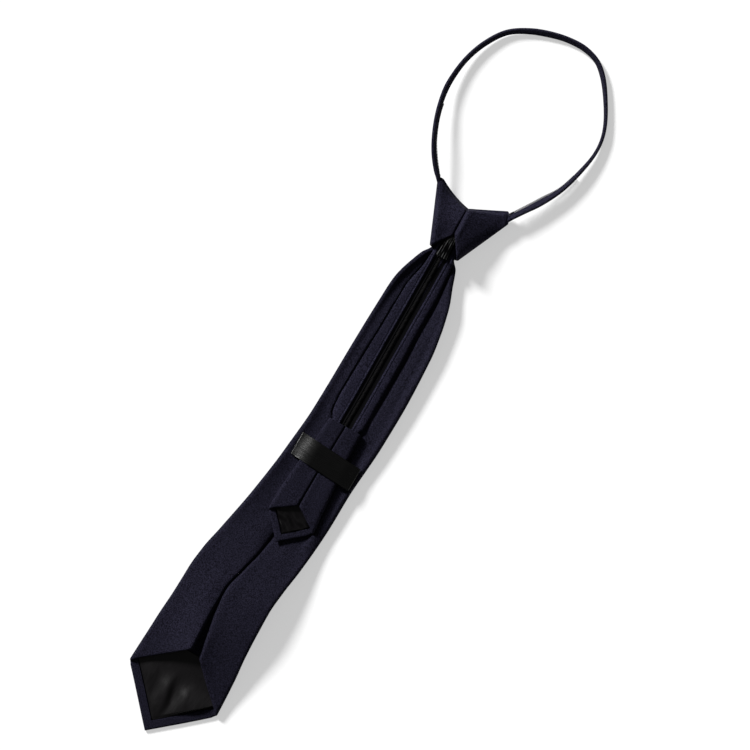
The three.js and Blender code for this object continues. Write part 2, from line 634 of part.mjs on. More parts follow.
const pieces = [
  ['blade', navyCloth, envelope(bladeShape)],
  ['blade_tipping', charcoalSatin, tipping(bladeShape, tippingReach)],
  ['tail_sleeve', navyCloth, envelope(tailShape)],
  ['tail_tipping', charcoalSatin, tipping(tailShape, tippingReach / 2)],
  ['tail_strip_left', navyCloth, tailStrip(-1)],
  ['tail_strip_right', navyCloth, tailStrip(1)],
  ['zipper_tape_left', blackTape, tape(-1)],
  ['zipper_tape_right', blackTape, tape(1)],
  ['zipper_coil', blackNylon, closedCoil()],
  ['zipper_slider', blackNylon, slider()],
  ['knot_wrap', navyCloth, knot()],
  ['keeper_label', blackSatin, label()],
  ['neck_loop', navyCloth, bandBar(0, 1, 84, -bandHalf, bandHalf, bandThick)],
  ['loop_coil_left', blackNylon, bandBar(0, coilShare, 16, ...coilOut, loopCoilWidth)],
  ['loop_coil_right', blackNylon, bandBar(1 - coilShare, 1, 16, ...coilOut, loopCoilWidth)],
];

const part = new THREE.Group();
for (const [name, material, geometry] of pieces) {
  const mesh = new THREE.Mesh(geometry, material);
  mesh.name = name;
  part.add(mesh);
}

// The origin goes under the middle of the whole, on the floor.
const box = new THREE.Box3().setFromObject(part);
const middle = box.getCenter(new THREE.Vector3());
part.position.set(-middle.x, -middle.y, -box.min.z);
part.updateMatrixWorld(true);

export default part;
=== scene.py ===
import math

import bpy
import numpy as np
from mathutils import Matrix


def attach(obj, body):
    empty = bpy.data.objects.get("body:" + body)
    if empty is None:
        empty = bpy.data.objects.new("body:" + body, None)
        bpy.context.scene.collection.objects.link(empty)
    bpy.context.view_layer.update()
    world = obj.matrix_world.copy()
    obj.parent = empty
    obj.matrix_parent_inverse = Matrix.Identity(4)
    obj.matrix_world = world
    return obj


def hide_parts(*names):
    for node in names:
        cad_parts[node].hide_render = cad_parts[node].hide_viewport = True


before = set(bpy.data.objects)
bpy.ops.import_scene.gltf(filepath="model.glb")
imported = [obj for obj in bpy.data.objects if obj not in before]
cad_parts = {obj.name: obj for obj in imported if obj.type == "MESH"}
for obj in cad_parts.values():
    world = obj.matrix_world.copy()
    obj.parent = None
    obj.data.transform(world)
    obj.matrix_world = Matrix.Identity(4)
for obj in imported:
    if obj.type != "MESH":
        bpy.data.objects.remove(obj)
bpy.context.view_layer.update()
scene = bpy.context.scene

# Camera, table and light. The tie lies on a plain white table and is seen from straight above, turned 30
# degrees, from far off as in a flat lay. One soft key light stands low at the top left of the picture.
VIEW_TURN = math.radians(30)
VIEW_WIDTH = 0.600
VIEW_LENS = 250
VIEW_SENSOR = 36
VIEW_CENTRE = (0.0011, 0.0137)
VIEW_LEVEL = 0.005
VIEW_FAR = 40

camera_data = bpy.data.cameras.new("flat_lay_camera")
camera_data.lens = VIEW_LENS
camera_data.sensor_width = VIEW_SENSOR
camera_data.clip_end = VIEW_FAR
camera = bpy.data.objects.new("flat_lay_camera", camera_data)
camera.location = (*VIEW_CENTRE, VIEW_LEVEL + VIEW_WIDTH * VIEW_LENS / VIEW_SENSOR)
camera.rotation_euler = (0, 0, VIEW_TURN)
scene.collection.objects.link(camera)
scene.camera = camera
scene.view_settings.view_transform = "Standard"

KEY_DIRECTION = np.array([-0.929, 0.370, 0.532])
KEY_STRENGTH = 7.2
KEY_SPREAD = math.radians(12)
ROOM_STRENGTH = 0.16

key_data = bpy.data.lights.new("key_light", "SUN")
key_data.energy = KEY_STRENGTH
key_data.angle = KEY_SPREAD
key = bpy.data.objects.new("key_light", key_data)
key.rotation_euler = (
    math.atan2(math.hypot(*KEY_DIRECTION[:2]), KEY_DIRECTION[2]),
    0,
    math.atan2(KEY_DIRECTION[1], KEY_DIRECTION[0]) + math.pi / 2,
)
scene.collection.objects.link(key)

room = bpy.data.worlds.new("room_light")
room.use_nodes = True
background = room.node_tree.nodes["Background"].inputs
background["Color"].default_value = (1, 1, 1, 1)
background["Strength"].default_value = ROOM_STRENGTH
scene.world = room

TABLE_HALF = 6.0
TABLE_SURFACE = {
    "Base Color": (0.46, 0.46, 0.46, 1),
    "Roughness": 0.85,
    "Specular IOR Level": 0.1,
    "Emission Color": (1, 1, 1, 1),
    "Emission Strength": 0.495,
}
table_mesh = bpy.data.meshes.new("table_top")
table_corners = [(TABLE_HALF * x, TABLE_HALF * y, 0) for x, y in ((-1, -1), (1, -1), (1, 1), (-1, 1))]
table_mesh.from_pydata(table_corners, [], [(0, 1, 2, 3)])
table_top = bpy.data.objects.new("table_top", table_mesh)
scene.collection.objects.link(table_top)
white = bpy.data.materials.new("white_table")
white.use_nodes = True
for socket, value in TABLE_SURFACE.items():
    white.node_tree.nodes["Principled BSDF"].inputs[socket].default_value = value
table_mesh.materials.append(white)


# Blade: the wide front end of the tie, lying on its front. One length of navy twill is folded round an
# interlining: two soft side folds, two back flaps that meet in a blind-stitched seam, and a hem turned up
# inside the pointed tip. Towards the knot its sides curl up into a trough.
TIE_MIDDLE = np.array([-0.67, 125.95, 0.0])
CLOTH = 1.2
PLY = 0.3
CLEARANCE = 0.35
TINY = 1e-6
BLADE_LENGTH = 451
BLADE_HALF = 41.7
BLADE_ROLL = 2.9
BLADE_NECK_ROLL = 1.9
BLADE_HEM = 6.7
BLADE_TIP = (43, 38.5)
BLADE_FLAP_SLOPE = 0.9
BLADE_SEAM_GAP = 0.5
BLADE_SEAM_OPENING = 8.6
BLADE_SEAM_SPREAD = 54
BLADE_OPEN_LENGTH = 84
BLADE_FLAP_LIFT = (8.75, 4.25)
BLADE_FLAP_HOLD = 30
BLADE_LEAST_CURL = 1e-4
BLADE_EDGE_LIFT = 12
BLADE_IN_KNOT = 7
BLADE_ROLL_RUN = (0.08, 0.5)
BLADE_WAVE = (0.53, 0.72, 0.93)
BLADE_SEAM_ROLLS = ((0.7, 2.2), (1.9, 0.75))
BLADE_HUMPS = [
    (1.3, -13, 9, -338, 24),
    (-0.7, 1, 6, -352, 17),
    (-0.7, 4, 7, -268, 13),
    (0.5, -13, 8, -270, 22),
]
BLADE_OUT_OF_KNOT = (3, 22)
BLADE_PLEATS = [
    ("left", 1.6, 2.8, (20, 70), -1.5, 6.5, 0.7, (120, 190)),
    ("left", -2.4, -2.4, (20, 70), -0.3, 0.9, 1, (150, 180)),
    ("right", 1.2, 1.2, (20, 70), 10, 4.5, 1, (90, 200)),
    ("right", -2.0, -1.0, (90, 150), 1.4, 1.6, 1, (150, 172)),
]
BLADE_CUSHION = (2.4, 2.8, 3.8)
BLADE_CUSHION_ENDS = ((150, 185), (248, 272))
TAIL_DROP = 160
TAIL_HALF = 20.9


def table(names, rows):
    """A short table as a dictionary of named columns."""
    return dict(zip(names.split(), np.array(rows, float).T))


BLADE = table(
    "down half centre flat curl_left curl_right rise seam",
    [
        (-0.030, 0.318, 0.000, 0.36, 1.50, 1.50, 2.1, 0),
        (0.000, 0.326, 0.000, 0.36, 1.50, 1.50, 2.1, 0),
        (0.017, 0.450, 0.010, 0.38, 1.25, 1.20, 1.8, 0),
        (0.041, 0.555, 0.010, 0.42, 1.15, 1.20, 1.2, 0),
        (0.085, 0.720, 0.054, 0.46, 1.00, 1.40, 0.4, 0),
        (0.130, 0.775, 0.100, 0.50, 0.85, 1.35, 0, 0),
        (0.175, 0.802, 0.124, 0.52, 0.70, 1.20, 0, 0),
        (0.264, 0.817, 0.133, 0.54, 0.55, 1.00, 0, 0),
        (0.353, 0.808, 0.111, 0.56, 0.45, 0.80, 0, 0),
        (0.442, 0.800, 0.025, 0.58, 0.35, 0.50, 0, 0),
        (0.531, 0.842, -0.052, 0.60, 0.22, 0.34, 0, 0.02),
        (0.620, 0.882, -0.187, 0.62, 0.10, 0.20, 0, 0.03),
        (0.665, 0.894, -0.275, 0.64, 0.06, 0.12, 0, 0.00),
        (0.710, 0.896, -0.322, 0.66, 0.03, 0.06, 0, -0.06),
        (0.754, 0.905, -0.324, 0.68, 0, 0, 0, -0.038),
        (0.799, 0.932, -0.328, 0.70, 0, 0, 0, 0.016),
        (0.844, 0.966, -0.316, 0.72, 0, 0, 0, 0.055),
        (0.911, 1.000, -0.314, 0.74, 0, 0, 0, 0.03),
        (1.000, 1.020, -0.372, 0.76, 0, 0, 0, 0.03),
    ],
)


def mix(a, b, t):
    """a where t is 0 and b where t is 1, in a straight line between."""
    return a + (b - a) * t


def smooth(v, low, high):
    """An S curve: 3 t t - 2 t t t, where t runs from 0 at low to 1 at high."""
    t = np.clip((v - low) / (high - low), 0, 1)
    return t * t * (3 - 2 * t)


def bell(v, middle, wide):
    """A Gaussian hump: exp(-((v - middle) / wide) squared)."""
    return np.exp(-(((v - middle) / wide) ** 2))


def hermite(t, a, b, leave, arrive):
    """A cubic from a at t 0 to b at t 1 with these slopes there: a plus (b - a) times 3 t t - 2 t t t, plus
    t (1 - t) times ((1 - t) leave - t arrive)."""
    return mix(a, b, t * t * (3 - 2 * t)) + t * (1 - t) * ((1 - t) * leave - t * arrive)


def joined(*parts):
    """Arrays spread to one grid and stacked as its last axis."""
    return np.stack(np.broadcast_arrays(*parts), -1)


def unit(vectors):
    """Vectors made one long."""
    return vectors / np.maximum(np.linalg.norm(vectors, axis=-1, keepdims=True), TINY)


def distance(points, axis):
    """Distance run along each line of points."""
    steps = np.diff(points, axis=axis, prepend=np.take(points, [0], axis))
    return np.cumsum(np.linalg.norm(steps, axis=-1), axis)


def column(rows, key, name, at):
    """A table's column read at any station: Hermite cubics between rows, whose slopes are harmonic means of
    the slopes beside them, so the curve never overshoots a row."""
    stations, values = rows[key], rows[name]
    step = np.diff(stations)
    slope = np.diff(values) / step
    both = slope[:-1] * slope[1:]
    total = np.where(both > 0, slope[:-1] + slope[1:], 1)
    tangent = np.concatenate([slope[:1], np.where(both > 0, 2 * both / total, 0), slope[-1:]])
    v = np.clip(at, stations[0], stations[-1])
    i = np.clip(np.searchsorted(stations, v, side="right") - 1, 0, len(step) - 1)
    t = (v - stations[i]) / step[i]
    return hermite(t, values[i], values[i + 1], step[i] * tangent[i], step[i] * tangent[i + 1])


def finish_mesh(name, points, faces, uv, material, crease=50):
    """Points in millimetres from the knot's lower edge become a mesh in metres in the part's frame. Faces
    are quads of point numbers, uv is a pair of millimetres for each point, and edges turned by more degrees
    than crease stay sharp."""
    mesh = bpy.data.meshes.new(name)
    mesh.vertices.add(len(points))
    mesh.vertices.foreach_set("co", ((points + TIE_MIDDLE) / 1000).astype(np.float32).ravel())
    corners = np.asarray(faces, np.int32)
    a, b, c, d = (points[corners[:, k]] for k in range(4))
    volume = np.einsum("ij,ij->", a, np.cross(b, c) + np.cross(c, d))
    if volume < 0:
        corners = corners[:, ::-1]
    mesh.loops.add(corners.size)
    mesh.loops.foreach_set("vertex_index", corners.ravel())
    mesh.polygons.add(len(corners))
    mesh.polygons.foreach_set("loop_start", np.arange(0, corners.size, 4, dtype=np.int32))
    mesh.update(calc_edges=True)
    layer = mesh.uv_layers.new(name="cloth")
    layer.data.foreach_set("uv", (uv[corners.ravel()] / 1000).astype(np.float32).ravel())
    mesh.shade_smooth()
    mesh.set_sharp_from_angle(angle=math.radians(crease))
    mesh.materials.append(material)
    mesh.validate()
    piece = bpy.data.objects.new(name, mesh)
    scene.collection.objects.link(piece)
    return piece


def grid_faces(columns, rows, first=0):
    """Quads of a grid of points numbered column by column."""
    at = first + np.arange(columns * rows).reshape(columns, rows)
    return joined(at[:-1, :-1], at[1:, :-1], at[1:, 1:], at[:-1, 1:]).reshape(-1, 4)


def walled(name, outer, inner, uv, material, crease=50):
    """A closed sheet with a thickness: two grids of points (columns, rows, 3), joined all round by a
    rounded rim, whose middle line stands out from the sheet by a third of its thickness."""
    columns, rows = outer.shape[:2]
    count = columns * rows
    number = np.arange(count).reshape(columns, rows)
    loop = np.concatenate([number[:-1, 0], number[-1, :-1], number[:0:-1, -1], number[0, :0:-1]])
    into = np.concatenate([number[:-1, 1], number[-2, :-1], number[:0:-1, -2], number[1, :0:-1]])
    flat_outer, flat_inner = outer.reshape(-1, 3), inner.reshape(-1, 3)
    edge = (flat_outer[loop] + flat_inner[loop]) / 2
    away = unit(edge - (flat_outer[into] + flat_inner[into]) / 2)
    thick = np.linalg.norm(flat_outer[loop] - flat_inner[loop], axis=1, keepdims=True)
    rim = edge + away * thick / 3
    ring = 2 * count + np.arange(len(loop))
    after = lambda v: np.roll(v, -1)
    faces = np.concatenate([
        grid_faces(columns, rows),
        grid_faces(columns, rows, count)[:, ::-1],
        joined(after(loop), loop, ring, after(ring)),
        joined(after(ring), ring, count + loop, count + after(loop)),
    ])
    points = np.concatenate([flat_outer, flat_inner, rim])
    flat_uv = uv.reshape(-1, 2)
    point_uv = np.concatenate([flat_uv, flat_uv, flat_uv[loop]])
    return finish_mesh(name, points, faces, point_uv, material, crease)


def ringed(name, rings, uv, material):
    """Closed bars from rings (bars, stations, points round, 3). Each bar is capped at both ends by a ring
    that has shrunk to its middle point."""
    bars, stations, around = rings.shape[:3]
    ends = rings[:, [0, -1]].mean(2, keepdims=True).repeat(around, 2)
    full = np.concatenate([ends[:, :1], rings, ends[:, 1:]], 1)
    uv_full = np.concatenate([uv[:, :1], uv, uv[:, -1:]], 1)
    number = np.arange(full[..., 0].size).reshape(bars, stations + 2, around)
    turn = np.roll(number, -1, 2)
    faces = joined(number[:, :-1], turn[:, :-1], turn[:, 1:], number[:, 1:]).reshape(-1, 4)
    return finish_mesh(name, full.reshape(-1, 3), faces, uv_full.reshape(-1, 2), material)


class Value:
    """One socket of a finish. Sums, differences and products on it add Math nodes."""

    def __init__(self, finish, socket):
        self.finish = finish
        self.socket = socket

    def math(self, operation, *values):
        """A Math node."""
        return self.finish.node("ShaderNodeMath", {"operation": operation}, dict(enumerate(values)))

    def __add__(self, other):
        return self.math("ADD", self, other)

    def __sub__(self, other):
        return self.math("SUBTRACT", self, other)

    def __rsub__(self, other):
        return self.math("SUBTRACT", other, self)

    def __mul__(self, other):
        return self.math("MULTIPLY", self, other)

    def ripple(self, pitch, phase=0.0):
        """A sine wave from -1 to 1 that repeats at every pitch: sin(2 pi value / pitch + phase)."""
        return self.math("SINE", self * (2 * math.pi / pitch) + phase)

    def within(self):
        """Held between 0 and 1."""
        return self.finish.node("ShaderNodeClamp", {}, {0: self})

    __radd__ = __add__
    __rmul__ = __mul__


class Finish:
    """A surface finish: one Principled shader and the nodes that feed it."""

    def __init__(self, name, specular):
        self.material = bpy.data.materials.new(name)
        self.material.use_nodes = True
        self.tree = self.material.node_tree
        self.shader = self.tree.nodes["Principled BSDF"]
        self.drive("Specular IOR Level", specular)

    def feed(self, socket, value):
        """An input socket gets a link from a value, or a number, vector or colour of its own."""
        if isinstance(value, Value):
            self.tree.links.new(value.socket, socket)
        else:
            socket.default_value = value

    def node(self, kind, settings, inputs, out=0):
        """A node of this kind with its settings, its inputs by number or name, and one of its outputs."""
        made = self.tree.nodes.new(kind)
        for setting, value in settings.items():
            setattr(made, setting, value)
        for place, value in inputs.items():
            self.feed(made.inputs[place], value)
        return Value(self, made.outputs[out])

    def blend(self, share, first, second):
        """A colour between two others."""
        colours = {"Factor": share, 6: (*first, 1), 7: (*second, 1)}
        return self.node("ShaderNodeMix", {"data_type": "RGBA"}, colours, out=2)

    def cloth_place(self):
        """A place on the piece's own flat pattern in metres: across, along, and both as a vector."""
        place = self.node("ShaderNodeUVMap", {"uv_map": "cloth"}, {})
        across, along = (self.node("ShaderNodeSeparateXYZ", {}, {0: place}, out=axis) for axis in (0, 1))
        return across, along, place

    def noise(self, place, scale, detail=2.0, stretch=(1, 1, 1)):
        """Soft noise from 0 to 1 on a place, stretched along its axes."""
        turned = self.node("ShaderNodeMapping", {}, {"Vector": place, "Scale": stretch})
        return self.node("ShaderNodeTexNoise", {}, {"Vector": turned, "Scale": scale, "Detail": detail})

    def drive(self, socket, value):
        """A socket of the shader gets a link or a value of its own."""
        self.feed(self.shader.inputs[socket], value)

    def relief(self, height, depth, strength=1.0):
        """Bump of this depth in metres."""
        bump = {"Height": height, "Distance": depth, "Strength": strength}
        self.drive("Normal", self.node("ShaderNodeBump", {}, bump))


TWILL_PITCH = 0.0007
YARN_PITCH = 0.0005
MELANGE_SCALE = 1500
MELANGE_CONTRAST = 10
CLOUD_SCALE = 60
NAVY_DARK = (0.0022, 0.0020, 0.0045)
NAVY_LIGHT = np.array([0.0158, 0.0148, 0.0285])
# The blade and the sleeve use a darker copy of the twill: painted shade, for light that falls off there.
BLADE_PAINTED_SHADE = 0.72


def twill_cloth(name, turn, light=1.0):
    """Near-black navy wool-look twill: ribs across the angle turn over crossed yarns, a melange of lighter
    and darker yarns and a few broad, faint shade changes. Light scales the lighter yarns; below 1 it makes
    a darker copy of the same cloth, which is painted shade."""
    finish = Finish(name, 0.05)
    across, along, place = finish.cloth_place()
    rib = (across * math.cos(turn) + along * math.sin(turn)).ripple(TWILL_PITCH)
    yarn = across.ripple(YARN_PITCH) * along.ripple(YARN_PITCH)
    body = finish.node("ShaderNodeTexCoord", {}, {}, out="Object")
    melange = finish.noise(body, MELANGE_SCALE, 1)
    cloud = finish.noise(place, CLOUD_SCALE, 3)
    yarns = (melange - 0.5) * MELANGE_CONTRAST + 0.5
    shade = (yarns + rib * 0.12 + (cloud - 0.5) * 0.3).within()
    finish.drive("Base Color", finish.blend(shade, NAVY_DARK, NAVY_LIGHT * light))
    finish.drive("Roughness", 0.95 - shade * 0.12)
    finish.relief(rib * 0.35 + yarn * 0.25 + melange * 0.3, 0.00010, 0.6)
    return finish.material


def blade_at(name, y):
    """A column of the blade's table at y."""
    return column(BLADE, "down", name, -y / BLADE_LENGTH)


def blade_half(y):
    """Half the blade's width, measured round its curl."""
    return blade_at("half", y) * BLADE_HALF


def blade_roll(y):
    """Radius of the side folds: half the blade's thickness."""
    return mix(BLADE_NECK_ROLL, BLADE_ROLL, smooth(-y / BLADE_LENGTH, *BLADE_ROLL_RUN))


BLADE_TIP_Y = -BLADE_LENGTH
BLADE_CORNER_Y = BLADE_TIP_Y + BLADE_TIP[0]
BLADE_TACK_Y = BLADE_CORNER_Y + BLADE_OPEN_LENGTH


def blade_lift(across, y):
    """The blade rises off the table in one long wave, from its left edge to its right one."""
    down = -y / BLADE_LENGTH
    wave = smooth(down, *BLADE_WAVE[:2]) * (1 - smooth(down, *BLADE_WAVE[1:]))
    share = np.clip((across / BLADE_HALF + 1) / 2, 0, 1)
    return BLADE_EDGE_LIFT * wave * share * (1.6 - 0.6 * share)


def blade_curl(across, y):
    """The cross-section's middle stays flat; beyond it each side turns up on an arc, by an angle from the
    table. Where the arc starts, and its radius: (half - start) / angle."""
    half = blade_half(y)
    start = blade_at("flat", y) * half
    angle = np.where(across < 0, blade_at("curl_left", y), blade_at("curl_right", y))
    return start, (half - start) / np.maximum(angle, BLADE_LEAST_CURL)


def blade_world(across, up, y):
    """A place on the flat section, across and up, becomes one on the curled blade."""
    start, radius = blade_curl(across, y)
    over = np.abs(across) - start
    bent = np.where(over > 0, np.sign(across) * (start + (radius - up) * np.sin(over / radius)), across)
    raised = np.where(over > 0, radius - (radius - up) * np.cos(over / radius), up)
    x = blade_at("centre", y) * BLADE_HALF + bent
    return joined(x, y, blade_at("rise", y) + raised + blade_lift(bent, y))


def blade_back(x, y):
    """Height of the blade's back over the table at a place: the arcs worked backwards."""
    across = x - blade_at("centre", y) * BLADE_HALF
    start, radius = blade_curl(across, y)
    up = 2 * blade_roll(y)
    sine = np.clip((np.abs(across) - start) / (radius - up), 0, 0.97)
    return blade_at("rise", y) + radius - (radius - up) * np.sqrt(1 - sine * sine) + blade_lift(across, y)


def envelope_columns(flaps, turns, fronts):
    """Columns of a folded envelope from the left flap's edge round the front to the right one's: the side,
    the angle round the side fold, the share of the front's width and the share of the flap's width."""
    flap = 1 - (1 - np.arange(1, flaps + 1) / flaps) ** 1.5
    turn = np.linspace(0, math.pi, turns + 1)
    front = np.linspace(-1, 1, fronts + 1)[1:-1]
    round_fold = joined(1, turn, 1, 0)
    over_back = joined(1, math.pi, 1, flap)
    right = np.concatenate([round_fold, over_back]).T
    left = right[:, ::-1] * np.array([[-1], [1], [-1], [1]])
    middle = joined(0, 0, front, 0).T
    return np.concatenate([left, middle, right], 1)[:, :, None]


def hem_rows(main, hem):
    """Rows of an envelope from its top to the end of its hem: the share of the way up, the outer and inner
    offsets from the pointed edge, and the depths of both skins. The hem turns on a half circle."""
    slant = math.sqrt(2)
    bend = CLOTH + PLY / 2
    turn = np.linspace(0, math.pi, 9)[1:]
    into = np.linspace(0, 1, 6)[1:]
    lead = slant * bend * (1 - np.sin(turn))
    inner_lead = slant * (bend - PLY / 2 * np.sin(turn))
    flat = mix(slant * bend, slant * hem, into)
    return [
        np.concatenate([main, 0 * turn, 0 * into]),
        np.concatenate([0 * main + slant * bend, lead, flat]),
        np.concatenate([0 * main + slant * bend, inner_lead, flat]),
        np.concatenate([0 * main, bend * (1 - np.cos(turn)), 0 * into + 2 * bend]),
        np.concatenate([0 * main + CLOTH, bend - PLY / 2 * np.cos(turn), 0 * into + bend + PLY / 2]),
    ]


def envelope(name, shape, places, main, material):
    """A folded, hemmed envelope of cloth. Each column of places starts at the top and ends inside the hem
    of the pointed edge. The shape gives half width, roll, seam, lift and relief, and bends the section."""
    side, turn, front, flap = places
    share, lead_out, lead_in, deep_out, deep_in = (row[None, :] for row in hem_rows(main, shape["hem"]))
    corner_half = shape["half"](shape["tip_y"] + shape["tip"][0])
    roll = shape["roll"](shape["tip_y"])
    rough = (1 - flap) * front * (corner_half - roll) + side * roll * np.sin(turn)
    rough = rough + flap * side * shape["opening"] / 2
    rise = np.where(rough < 0, *shape["tip"])
    near = np.minimum(np.abs(rough) / corner_half, 1)
    rise = np.where(turn > math.pi / 2, rise + shape["slope"] * corner_half * (1 - near), rise * near)
    grids = []
    for lead, deep in ((lead_out, deep_out), (lead_in, deep_in)):
        y = mix(shape["tip_y"] + rise + lead, shape["top_y"], share)
        half = shape["half"](y)
        radius = shape["roll"](y) - deep
        shoulder = half - shape["roll"](y)
        across = (1 - flap) * front * shoulder + flap * shape["seam"](side, y)
        across = across + side * radius * np.sin(turn)
        up = shape["roll"](y) - radius * np.cos(turn)
        back = (1 - np.cos(turn)) / 2
        up = up + shape["lift"](side, y) * flap**2 + back * shape["relief"](across, y, side)
        grids.append(shape["world"](across, up, y))
    run = distance(grids[0], 0)
    uv = joined(run - run[len(side) // 2], y)
    return walled(name, grids[0], grids[1], uv, material)


def blade_seam(side, y):
    """Where a flap ends: side by side above the tack, spreading below it with the distance's power 1.1."""
    spread = np.clip((BLADE_TACK_Y - y) / BLADE_SEAM_SPREAD, 0, 1) ** 1.1
    return side * mix(BLADE_SEAM_GAP, BLADE_SEAM_OPENING, spread) / 2 + blade_at("seam", y) * BLADE_HALF


def blade_flap_lift(side, y):
    """How far the inner edges of the loose flaps stand up beside the open tip, the left one higher."""
    loose = smooth(-y, -BLADE_TACK_Y, -BLADE_CORNER_Y - BLADE_FLAP_HOLD)
    return np.where(side < 0, *BLADE_FLAP_LIFT) * loose


TAIL_RUNS = table(
    "down left zip right",
    [
        (-0.07, -0.30, 0.02, 0.42),
        (0.00, -0.35, 0.03, 0.50),
        (0.11, -0.42, 0.05, 0.62),
        (0.23, -0.61, 0.06, 0.69),
        (0.41, -0.66, 0.07, 0.69),
        (0.56, -0.69, 0.08, 0.73),
        (0.84, -0.71, 0.10, 0.75),
        (0.96, -0.62, 0.10, 0.75),
        (1.00, -0.48, 0.10, 0.66),
        (1.10, -0.48, 0.10, 0.66),
    ],
)


def run_at(name, y):
    """Where the tail's left edge, zipper or right edge runs at y."""
    return column(TAIL_RUNS, "down", name, -y / TAIL_DROP) * TAIL_HALF


TAIL_LENGTH = 107.4
SLEEVE_TOP = -TAIL_DROP
SLEEVE = table(
    "down half centre",
    [
        (0.00, 0.700, 0.090),
        (0.14, 0.735, 0.075),
        (0.41, 0.860, 0.055),
        (0.64, 0.955, 0.050),
        (0.81, 1.000, 0.088),
        (1.00, 1.010, -0.012),
    ],
)


def sleeve_at(name, y):
    """The sleeve's half width or its middle at y."""
    return column(SLEEVE, "down", name, (SLEEVE_TOP - y) / TAIL_LENGTH) * TAIL_HALF


def blade_cushion(x, y):
    """The sleeve has sunk into the blade, so that the cloth stands up beside its right edge: a hump with a
    height, a middle and a width, that grows and fades between the ends."""
    height, middle, wide = BLADE_CUSHION
    start, end = BLADE_CUSHION_ENDS
    beside = x - sleeve_at("centre", y) - sleeve_at("half", y)
    return height * bell(beside, middle, wide) * smooth(-y, *start) * (1 - smooth(-y, *end))


def roll_in(beside, side, rolls):
    """The flaps roll down into the seam: minus the sum of each roll's depth times a hump of its width."""
    return -sum(deep * bell(beside, 0, wide) for deep, wide in rolls) * (side != 0)


def blade_relief(across, y, side):
    """Soft unevenness of the back. Each hump has a height, a middle and width across and a middle and width
    along. Each pleat follows one edge of the tail, with heights near the knot and further down, the stretch
    where they change, a middle, a width, and by how much and where it fades. Long faint waves run down the
    whole back, and the cloth is pulled in at the tack."""
    relief = roll_in(across - blade_seam(side, y), side, BLADE_SEAM_ROLLS)
    for high, middle, wide, low, long in BLADE_HUMPS:
        relief = relief + high * bell(across, middle, wide) * bell(y, low, long)
    relief = relief + 0.28 * np.sin(0.047 * y + 0.05 * across) * np.sin(0.019 * y - 0.13 * across + 1.1)
    pull = 0.5 * bell(y - 0.35 * across, BLADE_TACK_Y, 2.2)
    relief = relief - pull * smooth(-across, 0, 3) * smooth(across, -24, -8)
    x = across + blade_at("centre", y) * BLADE_HALF
    for edge, near, far, change, middle, wide, share, fade in BLADE_PLEATS:
        height = mix(near, far, smooth(-y, *change)) * (1 - share * smooth(-y, *fade))
        pleat = height * bell(x - run_at(edge, y), middle, wide)
        relief = relief + pleat * smooth(-y, *BLADE_OUT_OF_KNOT)
    return relief + blade_cushion(x, y)


blade_shape = {
    "half": blade_half, "roll": blade_roll, "seam": blade_seam, "lift": blade_flap_lift,
    "relief": blade_relief, "world": blade_world, "tip_y": BLADE_TIP_Y, "top_y": BLADE_IN_KNOT,
    "tip": BLADE_TIP, "hem": BLADE_HEM, "slope": BLADE_FLAP_SLOPE, "opening": BLADE_SEAM_OPENING,
}
# Darker copy of the knot's twill for the blade and the sleeve: painted shade.
shaded_blade_twill = twill_cloth("navy_twill_painted_shade", math.radians(50), BLADE_PAINTED_SHADE)
blade_rows = np.concatenate([np.linspace(1, 0.94, 22), np.linspace(0.935, 0, 230)])
blade_columns = envelope_columns(flaps=30, turns=9, fronts=50)
blade = envelope("blade_cloth", blade_shape, blade_columns, blade_rows, shaded_blade_twill)
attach(blade, "root")
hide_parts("blade")

# Tail: the narrow back end, lying on the blade's back. Below the zipper it is a folded envelope of the
# same twill with a centre seam and a small hemmed point.
TAIL_ROLL = 2.9
TAIL_HEM = 5
TAIL_TIP = 20
TAIL_FLAP_SLOPE = 0.7
TAIL_SEAM_GAP = 0.35
TAIL_SEAM_OPENING = 2.2
TAIL_SEAM_ROLLS = ((0.4, 1.1), (1.1, 0.4))
TAIL_PINCH = 0.35
TAIL_OPEN_LENGTH = 30
TAIL_FLAP_LIFT = 1.8
TAIL_KNOT_RISE = 4.5
TAIL_LEVEL = 0.65
TAIL_RISE_LENGTH = 34

SLEEVE_TIP = SLEEVE_TOP - TAIL_LENGTH


def tail_bed(x, y):
    """What the tail lies on: the blade's back, evened out towards its highest point under the tail's
    width, rising into the mouth of the knot."""
    below = y < SLEEVE_TOP
    low = np.where(below, sleeve_at("centre", y) - sleeve_at("half", y), run_at("left", y))
    high = np.where(below, sleeve_at("centre", y) + sleeve_at("half", y), run_at("right", y))
    level = np.maximum(blade_back(low, y), blade_back(high, y))
    level = np.maximum(level, blade_back((low + high) / 2, y))
    rise = TAIL_KNOT_RISE * smooth(y, -TAIL_RISE_LENGTH, 4)
    return mix(blade_back(x, y), level, TAIL_LEVEL) + CLEARANCE + rise


def tail_open(y):
    """How far the flaps have parted: 0 above the open tip and 1 at its corners."""
    return smooth(-y, -(SLEEVE_TIP + TAIL_TIP + TAIL_OPEN_LENGTH), -(SLEEVE_TIP + TAIL_TIP))


def sleeve_world(across, up, y):
    """The sleeve's section, laid on the tail's bed."""
    x = sleeve_at("centre", y) + across
    return joined(x, y, tail_bed(x, y) + up)


def sleeve_seam(side, y):
    """Where a flap ends: side by side along the seam, parted in the open tip."""
    return side * mix(TAIL_SEAM_GAP, TAIL_SEAM_OPENING, tail_open(y)) / 2


def sleeve_relief(across, y, side):
    """The flaps roll down into the seam, faint waves run down the back, and the sleeve is pinched a little
    under the keeper."""
    rolled = roll_in(across - sleeve_seam(side, y), side, TAIL_SEAM_ROLLS)
    wave = 0.16 * np.sin(0.11 * y + 0.2 * across) * np.sin(0.05 * y - 0.3 * across)
    return rolled + wave - TAIL_PINCH * bell(y, -TAIL_DROP - 30, 12)


